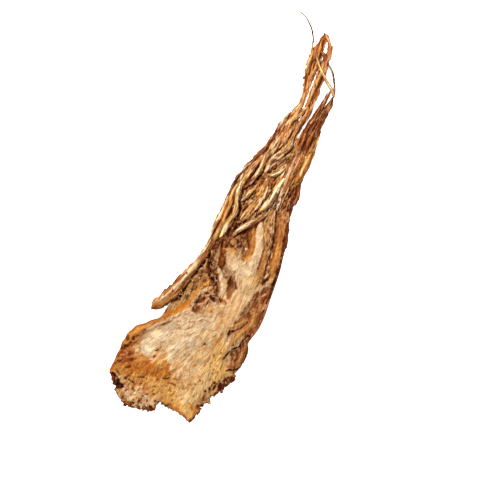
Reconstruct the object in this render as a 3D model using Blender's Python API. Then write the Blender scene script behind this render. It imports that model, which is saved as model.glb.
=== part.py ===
"""A lengthwise slice of dried dong quai root, lying on its cut face.

One grown piece: a broad crown end, a waist of cut wood with bark down both sides, and a tail of side roots
that were pressed together, cut along, and still part here and there. All of it is fused into one solid.
Metres, +Z up. The slice lies in the XY plane with its tail towards +Y, and the origin is on the table under
the middle of its bounding box.
"""

import bmesh
import bpy
import numpy as np

MM = 0.001
# The slab of the crown and waist, in mm.
CROWN_THICKNESS = 4.4
TAIL_THICKNESS = 3.2
RIM_SHARE = 0.42  # the rim's height as a share of the thickness behind it
RIM_WIDTH = 3.2  # how far in from the rim the slab reaches its full thickness
SLAB_ROWS = 56  # along the root
SLAB_COLUMNS = 30  # across it

# The slab's outline as four edges, each a list of (x, y) in mm.
CROWN_EDGE = [
    (-45.2, -62.2), (-44.0, -65.0), (-42.5, -67.4), (-42.1, -70.6), (-39.2, -74.5), (-35.2, -76.0),
    (-30.6, -77.2), (-27.6, -76.8), (-25.2, -73.8), (-22.4, -75.8), (-19.8, -77.4), (-16.6, -79.2),
    (-14.0, -82.2), (-12.2, -81.2), (-10.8, -78.0), (-8.6, -75.4), (-5.0, -74.0), (-3.2, -71.0),
    (-0.6, -68.8), (2.6, -66.6), (5.2, -63.2),
]
LEFT_EDGE = [
    (-45.2, -62.2), (-44.6, -59.8), (-42.4, -55.8), (-40.4, -52.2), (-39.2, -48.2), (-36.8, -45.0),
    (-34.0, -42.6), (-28.8, -41.2), (-24.4, -39.8), (-22.0, -36.0), (-20.0, -33.4), (-16.4, -28.6),
    (-13.2, -25.0), (-9.6, -19.0), (-5.6, -13.4), (-2.6, -8.6), (0.2, -3.4), (2.6, 1.6),
    (4.6, 7.0), (7.0, 12.4), (11.2, 18.2), (15.8, 23.8), (20.8, 30.6),
]
RIGHT_EDGE = [
    (5.2, -63.2), (3.4, -61.9), (5.2, -60.9), (7.6, -59.8), (9.6, -53.8), (10.9, -49.4), (12.0, -48.2),
    (15.2, -43.8), (18.0, -37.8), (20.6, -29.4), (23.6, -20.2), (25.2, -11.4), (26.4, -5.8),
    (27.2, 2.2), (28.4, 5.8), (30.0, 7.4), (31.2, 12.6), (34.0, 20.6), (36.0, 25.0), (37.6, 30.0),
]
TAIL_EDGE = [(20.8, 30.6), (24.4, 29.8), (28.8, 28.6), (33.0, 29.4), (37.6, 30.0)]

# Hollows in the cut face: centre x, y, half length, half width and depth in mm, and the angle from +X to
# the long way in degrees.
HOLLOWS = [
    (9.4, -9.6, 6.6, 2.6, 1.5, 78.0),  # pocket of bark left in the fork of the wood
    (3.4, -27.0, 6.4, 1.9, 1.1, 85.0),  # sunken strip beside the fork
    (-5.0, -34.4, 2.8, 2.2, 1.6, 60.0),  # knot
    (20.4, -12.0, 11.0, 0.9, 1.0, 76.0),  # furrow in the bark down the right side
]

# Side roots. Each has the height of its middle above the underside at its first and last point, in mm, its
# height as a share of its width, and its path as (x, y, half width) in mm.
SIDE_ROOTS = {
    "pale_edge_root": (2.1, 3.4, 0.85, [
        (-28.6, -36.0, 0.9), (-24.9, -33.0, 2.1), (-21.2, -30.2, 2.3), (-17.6, -26.8, 2.1),
        (-12.9, -20.7, 1.8), (-8.8, -16.0, 1.6), (-4.0, -8.2, 1.6), (0.6, 0.2, 1.7), (4.4, 9.4, 1.6),
        (8.6, 17.4, 0.8)]),
    "outer_left_root": (2.4, 2.0, 1.0, [
        (-4.6, -9.0, 0.7), (-2.3, -2.6, 1.2), (0.6, 3.6, 1.2), (3.4, 9.4, 1.2), (6.0, 14.6, 1.4),
        (9.8, 19.4, 1.5), (14.4, 24.0, 1.6), (18.6, 28.4, 1.6), (21.9, 33.4, 1.4), (24.7, 38.4, 1.3),
        (28.0, 42.2, 0.9)]),
    "olive_root": (3.3, 3.5, 1.0, [
        (8.8, 16.6, 0.7), (7.0, 12.2, 1.2), (6.2, 7.4, 1.3), (5.6, 3.4, 1.3), (3.6, -0.6, 1.3),
        (1.4, -4.2, 1.2), (-1.2, -8.2, 0.6)]),
    "short_left_root": (3.3, 3.4, 1.0, [
        (16.8, 25.0, 0.7), (14.0, 21.8, 1.2), (11.2, 18.6, 1.3), (9.0, 15.4, 1.2), (7.4, 12.6, 0.6)]),
    "pale_wavy_root": (3.2, 3.6, 1.0, [
        (24.4, 35.0, 0.8), (22.0, 30.6, 1.3), (19.2, 26.6, 1.3), (17.0, 23.4, 1.2), (15.6, 20.2, 1.2),
        (13.8, 17.2, 1.2), (11.6, 14.6, 1.0), (9.6, 12.0, 0.6)]),
    "tan_upper_root": (2.8, 3.4, 0.95, [
        (28.4, 31.0, 0.9), (26.4, 27.8, 1.5), (23.4, 25.2, 1.6), (20.4, 23.2, 1.5), (18.4, 20.6, 1.3),
        (17.2, 17.8, 0.7)]),
    "thin_upper_root": (3.4, 3.5, 1.0, [
        (26.0, 21.4, 0.6), (23.6, 19.0, 1.0), (21.6, 17.6, 1.0), (18.8, 16.4, 0.6)]),
    "bright_root": (3.0, 3.6, 1.0, [
        (28.4, 22.8, 0.8), (25.2, 17.2, 1.3), (23.0, 13.4, 1.4), (21.0, 9.8, 1.4), (19.2, 6.6, 1.4),
        (17.0, 4.4, 1.3), (14.8, 2.6, 0.6)]),
    "lower_pale_root": (3.4, 3.4, 1.0, [
        (18.4, 2.2, 0.6), (15.2, 0.0, 1.1), (12.0, -2.0, 1.2), (9.0, -3.8, 1.2), (6.4, -5.6, 1.1),
        (4.0, -7.8, 0.6)]),
    "inner_ridge": (3.0, 3.0, 0.75, [
        (18.0, 16.2, 1.1), (16.6, 11.8, 2.0), (14.8, 7.8, 2.2), (12.0, 4.2, 2.1), (9.4, 1.0, 1.7),
        (7.0, -2.2, 0.8)]),
    "inner_left_root": (3.3, 3.3, 1.0, [
        (14.2, 13.4, 0.6), (11.6, 10.8, 1.0), (9.6, 8.6, 1.0), (7.4, 6.4, 0.6)]),
    "right_bark_ridge": (2.4, 2.8, 0.9, [
        (32.4, 26.2, 1.6), (30.0, 21.4, 2.2), (27.6, 16.6, 2.1), (25.2, 11.8, 1.9), (23.2, 7.0, 1.6),
        (22.0, 2.2, 0.9)]),
    "right_edge_root": (2.2, 2.0, 0.95, [
        (31.0, 14.6, 0.9), (29.4, 8.6, 1.8), (26.8, 4.2, 1.7), (25.6, -0.6, 1.5), (24.9, -6.2, 1.5),
        (23.4, -12.2, 1.5), (21.6, -18.6, 1.5), (19.6, -25.4, 1.6), (17.4, -31.8, 1.7),
        (14.9, -37.8, 1.8), (12.3, -42.6, 1.7), (9.8, -47.0, 1.0)]),
    "orange_band": (3.0, 3.0, 0.8, [
        (24.2, 3.4, 0.6), (23.6, -3.0, 0.9), (22.8, -9.0, 1.1), (21.4, -14.6, 1.1), (20.0, -19.8, 1.0),
        (18.8, -24.6, 0.6)]),
    "lobe_ridge": (3.2, 3.0, 0.8, [
        (14.2, -36.6, 0.7), (12.0, -41.0, 1.3), (9.4, -44.0, 1.4), (6.6, -46.6, 1.3), (4.4, -49.8, 0.7)]),
    "lower_lobe": (2.4, 2.2, 0.8, [
        (10.0, -50.0, 0.7), (8.8, -53.8, 1.5), (7.2, -57.0, 1.6), (4.6, -59.6, 0.9)]),
    "left_tail_root": (1.9, 1.5, 0.78, [
        (18.8, 23.2, 1.8), (22.8, 29.6, 2.8), (26.0, 35.0, 2.9), (28.4, 39.0, 2.6), (31.0, 43.0, 2.2),
        (33.0, 47.4, 2.0), (34.4, 52.2, 2.0), (34.9, 56.6, 2.0), (35.8, 61.4, 2.0), (37.6, 66.2, 1.9),
        (39.4, 69.8, 1.7), (40.6, 73.4, 0.8)]),
    "middle_tail_root": (2.0, 1.6, 0.85, [
        (26.2, 26.6, 1.5), (28.2, 31.2, 1.3), (30.4, 35.0, 1.1), (32.6, 38.8, 1.1), (34.6, 42.6, 1.8),
        (36.2, 47.0, 2.0), (37.6, 51.0, 2.0), (38.8, 55.4, 1.9), (40.2, 59.4, 1.9), (41.8, 63.4, 1.6),
        (43.3, 66.6, 0.9), (44.2, 68.4, 0.5)]),
    "golden_branch": (3.0, 3.0, 1.0, [
        (34.0, 44.2, 0.7), (31.2, 41.4, 1.0), (28.0, 39.0, 1.0), (25.0, 36.4, 0.7)]),
    "left_prong": (2.0, 1.9, 0.9, [
        (31.0, 25.6, 1.8), (32.6, 30.6, 1.7), (34.9, 34.6, 1.4), (37.0, 38.6, 1.3), (39.0, 43.0, 1.1),
        (41.1, 47.0, 0.9), (43.4, 50.4, 0.6)]),
    "right_prong": (2.0, 2.2, 0.85, [
        (33.8, 25.0, 2.0), (35.6, 30.6, 2.0), (37.6, 34.8, 1.9), (39.7, 38.4, 1.8), (41.6, 41.6, 1.6),
        (43.3, 45.0, 1.1), (44.6, 48.6, 0.7)]),
    "right_tan_root": (1.9, 2.0, 0.85, [
        (39.3, 35.4, 0.5), (37.6, 31.4, 1.1), (36.0, 27.0, 1.5), (34.2, 22.6, 1.7), (32.2, 18.0, 1.7),
        (30.2, 13.2, 1.1)]),
    "tip_bridge": (2.0, 2.0, 0.9, [
        (39.4, 71.6, 0.8), (41.6, 70.4, 0.9), (42.4, 67.4, 0.7), (42.6, 63.0, 0.7)]),
    "hair_root": (2.2, 4.4, 1.0, [
        (35.4, 62.0, 0.45), (36.0, 67.4, 0.42), (36.4, 71.4, 0.4), (35.6, 75.4, 0.4), (33.8, 79.0, 0.4),
        (32.0, 80.9, 0.38), (30.2, 82.2, 0.35)]),
    "crossing_root": (2.9, 2.3, 1.0, [
        (36.8, 65.8, 0.5), (38.4, 61.4, 0.6), (40.2, 56.8, 0.65), (42.4, 53.0, 0.7), (44.0, 50.4, 0.8),
        (44.8, 47.6, 0.6)]),
    "arched_root": (2.2, 2.3, 1.0, [
        (41.6, 61.6, 0.5), (43.8, 58.4, 0.5), (44.9, 54.2, 0.5), (45.0, 50.8, 0.5), (44.7, 48.0, 0.5)]),
    "knot": (2.4, 2.4, 1.0, [(44.2, 49.6, 0.6), (44.9, 49.3, 0.8), (45.6, 49.0, 0.35)]),
}
FINE_ROOTS = ("hair_root", "crossing_root", "arched_root", "knot")
SIDES = 8
FINE_SIDES = 6
RING_STEP = 3.6  # mm between rings along a side root
RINGS_AT_LEAST = 5

# How the slice warped as it dried: it is flat where it rests and lifts at its crown, corner and tail, in mm.
REST_FROM_Y, REST_TO_Y = -56.0, -16.0
CROWN_LIFT = 1.6
TAIL_LIFT = 4.2
CORNER_FROM_X, CORNER_LIFT = -20.0, 1.8
RIGHT_FROM_X, RIGHT_LIFT = 13.0, 1.0

BARK_COLOUR = (0.42, 0.24, 0.11, 1.0)


def underside(x, y):
    """Height of the slice's underside over the table: nil in the middle, rising in quadratic curves."""
    to_crown = np.clip((REST_FROM_Y - y) / 26.0, 0.0, 1.2)
    to_tail = np.clip((y - REST_TO_Y) / 90.0, 0.0, 1.2)
    to_corner = np.clip((CORNER_FROM_X - x) / 25.0, 0.0, 1.2)
    to_right = np.clip((x - RIGHT_FROM_X) / 30.0, 0.0, 1.2)
    return (CROWN_LIFT * to_crown**2 + TAIL_LIFT * to_tail**1.5
            + CORNER_LIFT * to_corner**2 + RIGHT_LIFT * to_right**2)


def along(points, count):
    """A Catmull-Rom curve through the points, read at an even spacing of its length in the XY plane."""
    p = np.array(points, float)
    p = np.vstack([2 * p[0] - p[1], p, 2 * p[-1] - p[-2]])
    t = np.linspace(0, 1, 12, endpoint=False)[:, None]
    spans = [
        0.5 * (2 * b + (c - a) * t + (2 * a - 5 * b + 4 * c - d) * t**2 + (3 * b - a - 3 * c + d) * t**3)
        for a, b, c, d in zip(p[:-3], p[1:-2], p[2:-1], p[3:])
    ]
    fine = np.vstack(spans + [p[-2:-1]])
    length = np.concatenate([[0], np.cumsum(np.hypot(*np.diff(fine[:, :2], axis=0).T))])
    at = np.linspace(0, length[-1], count)
    return np.column_stack([np.interp(at, length, column) for column in fine.T])


def hollow_depth(x, y):
    """Depth of the cut face's hollows: each falls away in a bell shape from its long middle line."""
    depth = np.zeros_like(x)
    for cx, cy, half_length, half_width, deep, angle in HOLLOWS:
        turn = np.radians(angle)
        lengthways = (x - cx) * np.cos(turn) + (y - cy) * np.sin(turn)
        crossways = (y - cy) * np.cos(turn) - (x - cx) * np.sin(turn)
        depth += deep * np.exp(-((lengthways / half_length) ** 4) - (crossways / half_width) ** 2)
    return depth


def slab_mesh():
    """The crown and waist: a grid stretched between the four edges, as a top and an underside with a rim."""
    u = np.linspace(0, 1, SLAB_ROWS)[:, None, None]
    v = np.linspace(0, 1, SLAB_COLUMNS)[None, :, None]
    left, right = along(LEFT_EDGE, SLAB_ROWS)[:, None], along(RIGHT_EDGE, SLAB_ROWS)[:, None]
    crown, tail = along(CROWN_EDGE, SLAB_COLUMNS)[None], along(TAIL_EDGE, SLAB_COLUMNS)[None]
    corners = ((1 - u) * ((1 - v) * crown[:, :1] + v * crown[:, -1:])
               + u * ((1 - v) * tail[:, :1] + v * tail[:, -1:]))
    flat = (1 - v) * left + v * right + (1 - u) * crown + u * tail - corners
    x, y = flat[..., 0], flat[..., 1]
    across = np.hypot(*(right - left).transpose(2, 0, 1))
    run = np.hypot(*np.diff(flat, axis=0).transpose(2, 0, 1)).sum(0)[None]
    u, v = u[..., 0], v[..., 0]
    to_rim = np.minimum(np.minimum(v, 1 - v) * across, np.minimum(u, 1 - u) * run)
    rise = np.sqrt(1 - (1 - np.clip(to_rim / RIM_WIDTH, 0, 1)) ** 2)
    thickness = CROWN_THICKNESS + (TAIL_THICKNESS - CROWN_THICKNESS) * u
    low = underside(x, y)
    rim_drop = 0.5 * thickness * (1 - RIM_SHARE) * (1 - rise)
    top = low + thickness - rim_drop - hollow_depth(x, y) * rise
    bottom = low + rim_drop
    points = np.concatenate([np.stack([x, y, top], -1), np.stack([x, y, bottom], -1)]).reshape(-1, 3)
    return points * MM, slab_faces(SLAB_ROWS, SLAB_COLUMNS)


def slab_faces(rows, columns):
    """Faces of two stacked grids joined round their rims, all pointing out."""
    above = np.arange(rows * columns).reshape(rows, columns)
    below = above + rows * columns

    def quads(a, b, c, d):
        return np.stack([a.ravel(), b.ravel(), c.ravel(), d.ravel()], 1)

    return np.vstack([
        quads(above[:-1, :-1], above[:-1, 1:], above[1:, 1:], above[1:, :-1]),
        quads(below[:-1, :-1], below[1:, :-1], below[1:, 1:], below[:-1, 1:]),
        quads(above[0, 1:], above[0, :-1], below[0, :-1], below[0, 1:]),
        quads(above[-1, :-1], above[-1, 1:], below[-1, 1:], below[-1, :-1]),
        quads(above[:-1, 0], above[1:, 0], below[1:, 0], below[:-1, 0]),
        quads(above[1:, -1], above[:-1, -1], below[:-1, -1], below[1:, -1]),
    ])


def root_mesh(first_height, last_height, roundness, path, sides):
    """A side root: an oval ring carried along its path, with a flat cap at each end."""
    control = np.array(path, float)
    length = np.hypot(*np.diff(control[:, :2], axis=0).T).sum()
    rings = max(RINGS_AT_LEAST, int(round(length / RING_STEP)))
    x, y, half_width = along(path, rings).T
    share = np.linspace(0, 1, rings)
    z = underside(x, y) + first_height + (last_height - first_height) * share
    heading = np.gradient(np.column_stack([x, y]), axis=0)
    heading /= np.hypot(*heading.T)[:, None]
    aside = np.column_stack([heading[:, 1], -heading[:, 0]])
    turn = np.linspace(0, 2 * np.pi, sides, endpoint=False)
    out = half_width[:, None] * np.cos(turn)
    up = half_width[:, None] * roundness * np.sin(turn)
    points = np.stack([
        x[:, None] + aside[:, :1] * out, y[:, None] + aside[:, 1:] * out, z[:, None] + up], -1)
    ring = np.arange(rings * sides).reshape(rings, sides)
    after = np.roll(ring, -1, axis=1)
    walls = np.stack([ring[:-1], ring[1:], after[1:], after[:-1]], -1).reshape(-1, 4)
    return points.reshape(-1, 3) * MM, walls.tolist() + [ring[0].tolist(), ring[-1, ::-1].tolist()]


def new_object(name, points, faces, collection):
    """An object of that name holding those faces, all pointing out."""
    mesh = bpy.data.meshes.new(name)
    mesh.from_pydata(points.tolist(), [], [list(map(int, face)) for face in faces])
    bm = bmesh.new()
    bm.from_mesh(mesh)
    bmesh.ops.recalc_face_normals(bm, faces=bm.faces)
    bm.to_mesh(mesh)
    bm.free()
    made = bpy.data.objects.new(name, mesh)
    collection.objects.link(made)
    return made


def outer_shell(mesh):
    """Keeps the largest connected body of the mesh: fusing can seal a small hollow or leave a scrap."""
    bm = bmesh.new()
    bm.from_mesh(mesh)
    bmesh.ops.triangulate(bm, faces=bm.faces)
    left, bodies = set(bm.faces), []
    while left:
        body, edge_of_body = set(), [next(iter(left))]
        while edge_of_body:
            face = edge_of_body.pop()
            if face in body:
                continue
            body.add(face)
            edge_of_body.extend(other for edge in face.edges for other in edge.link_faces if other not in body)
        left -= body
        bodies.append(body)
    largest = max(bodies, key=len)
    bmesh.ops.delete(bm, geom=[face for face in bm.faces if face not in largest], context="FACES")
    bm.to_mesh(mesh)
    bm.free()


def bark_material():
    """Dry brown bark, as one plain finish for the whole slice."""
    material = bpy.data.materials.new("dried_root")
    material.use_nodes = True
    shader = material.node_tree.nodes["Principled BSDF"]
    shader.inputs["Base Color"].default_value = BARK_COLOUR
    shader.inputs["Roughness"].default_value = 0.8
    shader.inputs["Metallic"].default_value = 0.0
    return material


def build():
    """Makes the slab and the side roots, fuses them, and leaves the one solid in the scene."""
    for old in list(bpy.data.objects):
        bpy.data.objects.remove(old)
    main = bpy.context.scene.collection
    slab = new_object("slab", *slab_mesh(), main)
    strands = bpy.data.collections.new("side_roots")
    main.children.link(strands)
    for name, (first_height, last_height, roundness, path) in SIDE_ROOTS.items():
        sides = FINE_SIDES if name in FINE_ROOTS else SIDES
        new_object(name, *root_mesh(first_height, last_height, roundness, path, sides), strands)
    fuse = slab.modifiers.new("fuse", "BOOLEAN")
    fuse.operation = "UNION"
    fuse.operand_type = "COLLECTION"
    fuse.collection = strands
    fuse.solver = "MANIFOLD"
    graph = bpy.context.evaluated_depsgraph_get()
    fused = bpy.data.meshes.new_from_object(slab.evaluated_get(graph))
    for helper in [slab, *strands.objects]:
        bpy.data.objects.remove(helper)
    bpy.data.collections.remove(strands)
    outer_shell(fused)
    fused.name = "root_slice"
    fused.materials.clear()
    fused.materials.append(bark_material())
    fused.shade_smooth()
    fused.set_sharp_from_angle(angle=np.radians(50))
    main.objects.link(bpy.data.objects.new("root_slice", fused))


build()
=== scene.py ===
"""The looks of one lengthwise slice of dried dong quai root, lying on its cut face and seen from above.

Sizes are in millimetres and turned into metres where a mesh is made. +Y runs from the crown to the tail.
"""

import bpy
import numpy as np
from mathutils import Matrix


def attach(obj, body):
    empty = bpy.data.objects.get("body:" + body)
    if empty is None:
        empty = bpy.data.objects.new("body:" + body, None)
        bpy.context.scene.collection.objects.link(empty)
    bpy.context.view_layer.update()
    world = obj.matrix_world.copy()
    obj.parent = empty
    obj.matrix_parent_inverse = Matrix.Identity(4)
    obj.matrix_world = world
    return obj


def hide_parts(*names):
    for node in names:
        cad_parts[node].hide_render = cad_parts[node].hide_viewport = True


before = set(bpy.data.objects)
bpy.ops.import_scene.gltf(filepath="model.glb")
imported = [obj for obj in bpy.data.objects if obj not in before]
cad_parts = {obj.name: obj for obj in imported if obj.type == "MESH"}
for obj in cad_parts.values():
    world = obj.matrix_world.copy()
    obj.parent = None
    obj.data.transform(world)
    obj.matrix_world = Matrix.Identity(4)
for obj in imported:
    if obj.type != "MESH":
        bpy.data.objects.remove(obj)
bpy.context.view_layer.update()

# The slab of the crown and waist
# The thick end of the root, sawn lengthwise and pressed flat while it dried: pale cut wood in the middle,
# golden where it darkened, and brown bark down both sides. It carries every side root.

MM = 0.001
CROWN_THICKNESS, TAIL_THICKNESS = 4.2, 3.0
RIM_WIDTH, RIM_SHARE = 2.0, 0.4
DEEPEST, RAGGED_DEPTH, EVENING_ROUNDS = 2.0, 3.0, 400
SLAB_ROWS, SLAB_COLUMNS, COARSER = 373, 211, 3
CROWN_EDGE = [
    (-45.1, -62.1), (-44.4, -62.9), (-43.8, -63.4), (-43.4, -64.4), (-43.6, -65.6), (-42.9, -67.0),
    (-42.1, -67.8), (-42.5, -69.2), (-42.2, -70.5), (-41.4, -71.6), (-40.8, -72.4), (-40.3, -73.6),
    (-39.1, -74.4), (-37.9, -75.0), (-37.0, -75.8), (-35.4, -76.2), (-33.6, -76.1), (-32.9, -75.7),
    (-32.3, -76.7), (-31.2, -77.1), (-30.3, -76.8), (-29.8, -77.8), (-28.9, -77.4), (-28.6, -76.4),
    (-27.8, -76.8), (-27.0, -77.4), (-26.6, -76.6), (-26.3, -75.2), (-25.5, -74.6), (-25.0, -73.8),
    (-24.0, -74.3), (-22.8, -74.9), (-21.5, -75.4), (-20.6, -76.4), (-19.5, -77.0), (-18.3, -77.8),
    (-17.3, -78.1), (-16.9, -79.1), (-15.9, -79.3), (-14.8, -80.4), (-14.2, -81.3), (-13.6, -81.5),
    (-13.2, -82.1), (-12.5, -81.9), (-11.6, -81.0), (-10.8, -80.2), (-10.5, -79.0), (-9.5, -78.6),
    (-8.8, -78.0), (-8.6, -77.0), (-9.1, -76.0), (-8.4, -75.0), (-7.3, -74.6), (-6.2, -74.4),
    (-5.2, -74.1), (-4.6, -73.6), (-4.9, -72.8), (-4.2, -71.7), (-3.8, -71.0), (-3.1, -71.9),
    (-2.6, -71.1), (-1.9, -70.7), (-1.3, -69.9), (-0.4, -69.2), (0.8, -68.3), (1.8, -67.4),
    (2.6, -66.6), (3.6, -65.4), (4.6, -64.6), (5.7, -63.6), (5.3, -62.9),
]
LEFT_EDGE = [
    (-45.1, -62.1), (-45.0, -60.8), (-44.3, -59.3), (-43.1, -57.0), (-42.2, -54.6), (-41.2, -53.0),
    (-40.5, -51.4), (-40.1, -49.8), (-38.9, -48.2), (-37.9, -46.2), (-36.0, -44.6), (-34.2, -43.0),
    (-31.0, -42.2), (-28.6, -41.0), (-25.6, -40.2), (-23.6, -38.6), (-22.6, -36.8), (-21.2, -35.0),
    (-19.8, -33.4), (-18.0, -31.0), (-16.0, -28.6), (-13.2, -25.0), (-9.6, -19.0), (-5.6, -13.4),
    (-2.6, -8.6), (0.2, -3.4), (2.6, 1.6), (4.6, 7.0), (7.0, 12.4), (11.2, 18.2), (15.8, 23.8),
    (20.8, 30.6),
]
RIGHT_EDGE = [
    (5.3, -62.9), (4.1, -62.5), (3.0, -62.1), (3.2, -61.5), (5.0, -61.2), (6.8, -60.6), (7.8, -59.6),
    (8.6, -57.4), (9.4, -54.6), (10.3, -51.2), (11.1, -49.4), (11.9, -48.4), (13.4, -46.6),
    (15.2, -43.8), (17.0, -40.0), (18.2, -36.6), (19.4, -32.8), (20.6, -29.4), (22.2, -24.8),
    (23.6, -20.2), (24.8, -14.4), (25.4, -10.6), (26.4, -5.8), (26.8, -1.6), (27.2, 2.0), (28.4, 5.4),
    (29.8, 7.2), (30.3, 9.6), (31.4, 12.6), (33.2, 17.0), (34.6, 21.4), (36.0, 25.2), (37.6, 30.0),
]
TAIL_EDGE = [(20.8, 30.6), (24.4, 29.8), (28.8, 28.6), (33.0, 29.4), (37.6, 30.0)]

# Colours of the dry root, as a painter would mix them, each channel out of 255.
COLOURS = {
    "cream": (230, 198, 150), "pale": (240, 214, 170), "peach": (238, 200, 150), "straw": (226, 184, 116),
    "gold": (222, 162, 82), "yellow": (244, 202, 128), "amber": (190, 122, 52), "rust": (154, 84, 38),
    "tan": (202, 150, 90), "olive": (188, 154, 98), "grey": (172, 142, 104), "brown": (160, 104, 58),
    "bark": (136, 90, 54), "umber": (98, 57, 31), "dark": (70, 33, 13), "black": (40, 19, 7),
    "white": (248, 230, 190), "pink": (218, 164, 122), "russet": (126, 68, 32), "chestnut": (190, 126, 72),
}
# The lamps are strong enough to burn the white floor out, so each colour is laid on darker than it looks.
LIGHT_GIVEN = np.array((0.50, 0.435, 0.37))
PAINT = {name: (np.array(rgb) / 255.0) ** 2.2 * LIGHT_GIVEN for name, rgb in COLOURS.items()}


def smooth(low, high, value):
    """Nil below low, one above high, and a cubic with level ends between them."""
    t = np.clip((value - low) / (high - low), 0, 1)
    return t * t * (3 - 2 * t)


def lumps(x, y, size, seed, octaves=3):
    """Smooth noise from -1 to 1: random heights on a square lattice of that size, joined by cubics, with each
    finer octave half the size and half the height of the one before."""
    table = np.random.default_rng(seed).uniform(-1, 1, (256, 256))
    total, height, whole = np.zeros(np.shape(x)), 1.0, 0.0
    for octave in range(octaves):
        u, v = np.asarray(x) / size + 17.3 * octave, np.asarray(y) / size - 9.1 * octave
        i, j = np.floor(u).astype(int), np.floor(v).astype(int)
        fu, fv = smooth(0, 1, u - i), smooth(0, 1, v - j)
        corner = [[table[(i + a) % 256, (j + b) % 256] for b in (0, 1)] for a in (0, 1)]
        low = corner[0][0] * (1 - fu) + corner[1][0] * fu
        high = corner[0][1] * (1 - fu) + corner[1][1] * fu
        total += height * (low * (1 - fv) + high * fv)
        whole += height
        size, height = size / 2, height / 2
    return total / whole * 1.6


def along(points, count):
    """A Catmull-Rom curve through the points, read at an even spacing of its length in the XY plane."""
    p = np.array(points, float)
    p = np.vstack([2 * p[0] - p[1], p, 2 * p[-1] - p[-2]])
    t = np.linspace(0, 1, 8, endpoint=False)[:, None]
    spans = [
        0.5 * (2 * b + (c - a) * t + (2 * a - 5 * b + 4 * c - d) * t**2 + (3 * b - a - 3 * c + d) * t**3)
        for a, b, c, d in zip(p[:-3], p[1:-2], p[2:-1], p[3:])
    ]
    fine = np.vstack(spans + [p[-2:-1]])
    length = np.concatenate([[0], np.cumsum(np.hypot(*np.diff(fine[:, :2], axis=0).T))])
    at = np.linspace(0, length[-1], count)
    return np.column_stack([np.interp(at, length, column) for column in fine.T])


def stroke_reach(x, y, path):
    """Distance of each point from a brush stroke's middle line, over the stroke's half width at the nearest
    place on it: nil on the line and one at the stroke's edge."""
    if len(path) == 1:
        return np.hypot(x - path[0][0], y - path[0][1]) / path[0][2]
    line = along(path, 3 * len(path)) if len(path) > 2 else np.array(path, float)
    best = np.full(x.shape, 9.0)
    for (ax, ay, aw), (bx, by, bw) in zip(line[:-1], line[1:]):
        dx, dy = bx - ax, by - ay
        t = np.clip(((x - ax) * dx + (y - ay) * dy) / (dx * dx + dy * dy), 0, 1)
        best = np.minimum(best, np.hypot(x - ax - t * dx, y - ay - t * dy) / (aw + t * (bw - aw)))
    return best


def paint(x, y, tint, rise, strokes):
    """Lays strokes over tint and rise, in order. Each is (colour, strength, lift in mm, wander in mm, path):
    its colour fades out round the stroke's edge, its lift is a bell across it, and wander shifts its edge by
    noise."""
    wander_x = lumps(x, y, 2.6, 11) + 0.5 * lumps(x, y, 0.8, 12)
    wander_y = lumps(x, y, 2.6, 13) + 0.5 * lumps(x, y, 0.8, 14)
    x_low, x_high, y_low, y_high = x.min(), x.max(), y.min(), y.max()
    for colour, strength, lift, wander, path in strokes:
        p = np.array(path, float)
        room = 2 * p[:, 2].max() + 2 * wander
        (left, low, _), (right, high, _) = p.min(0) - room, p.max(0) + room
        if left > x_high or right < x_low or low > y_high or high < y_low:
            continue
        near = (x > left) & (x < right) & (y > low) & (y < high)
        if not near.any():
            continue
        reach = stroke_reach(x[near] + wander * wander_x[near], y[near] + wander * wander_y[near], path)
        cover = strength * smooth(1.25, 0.7, reach)
        tint[near] += (PAINT[colour] - tint[near]) * cover[:, None]
        rise[near] += lift * np.exp(-1.2 * reach**2)


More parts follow.
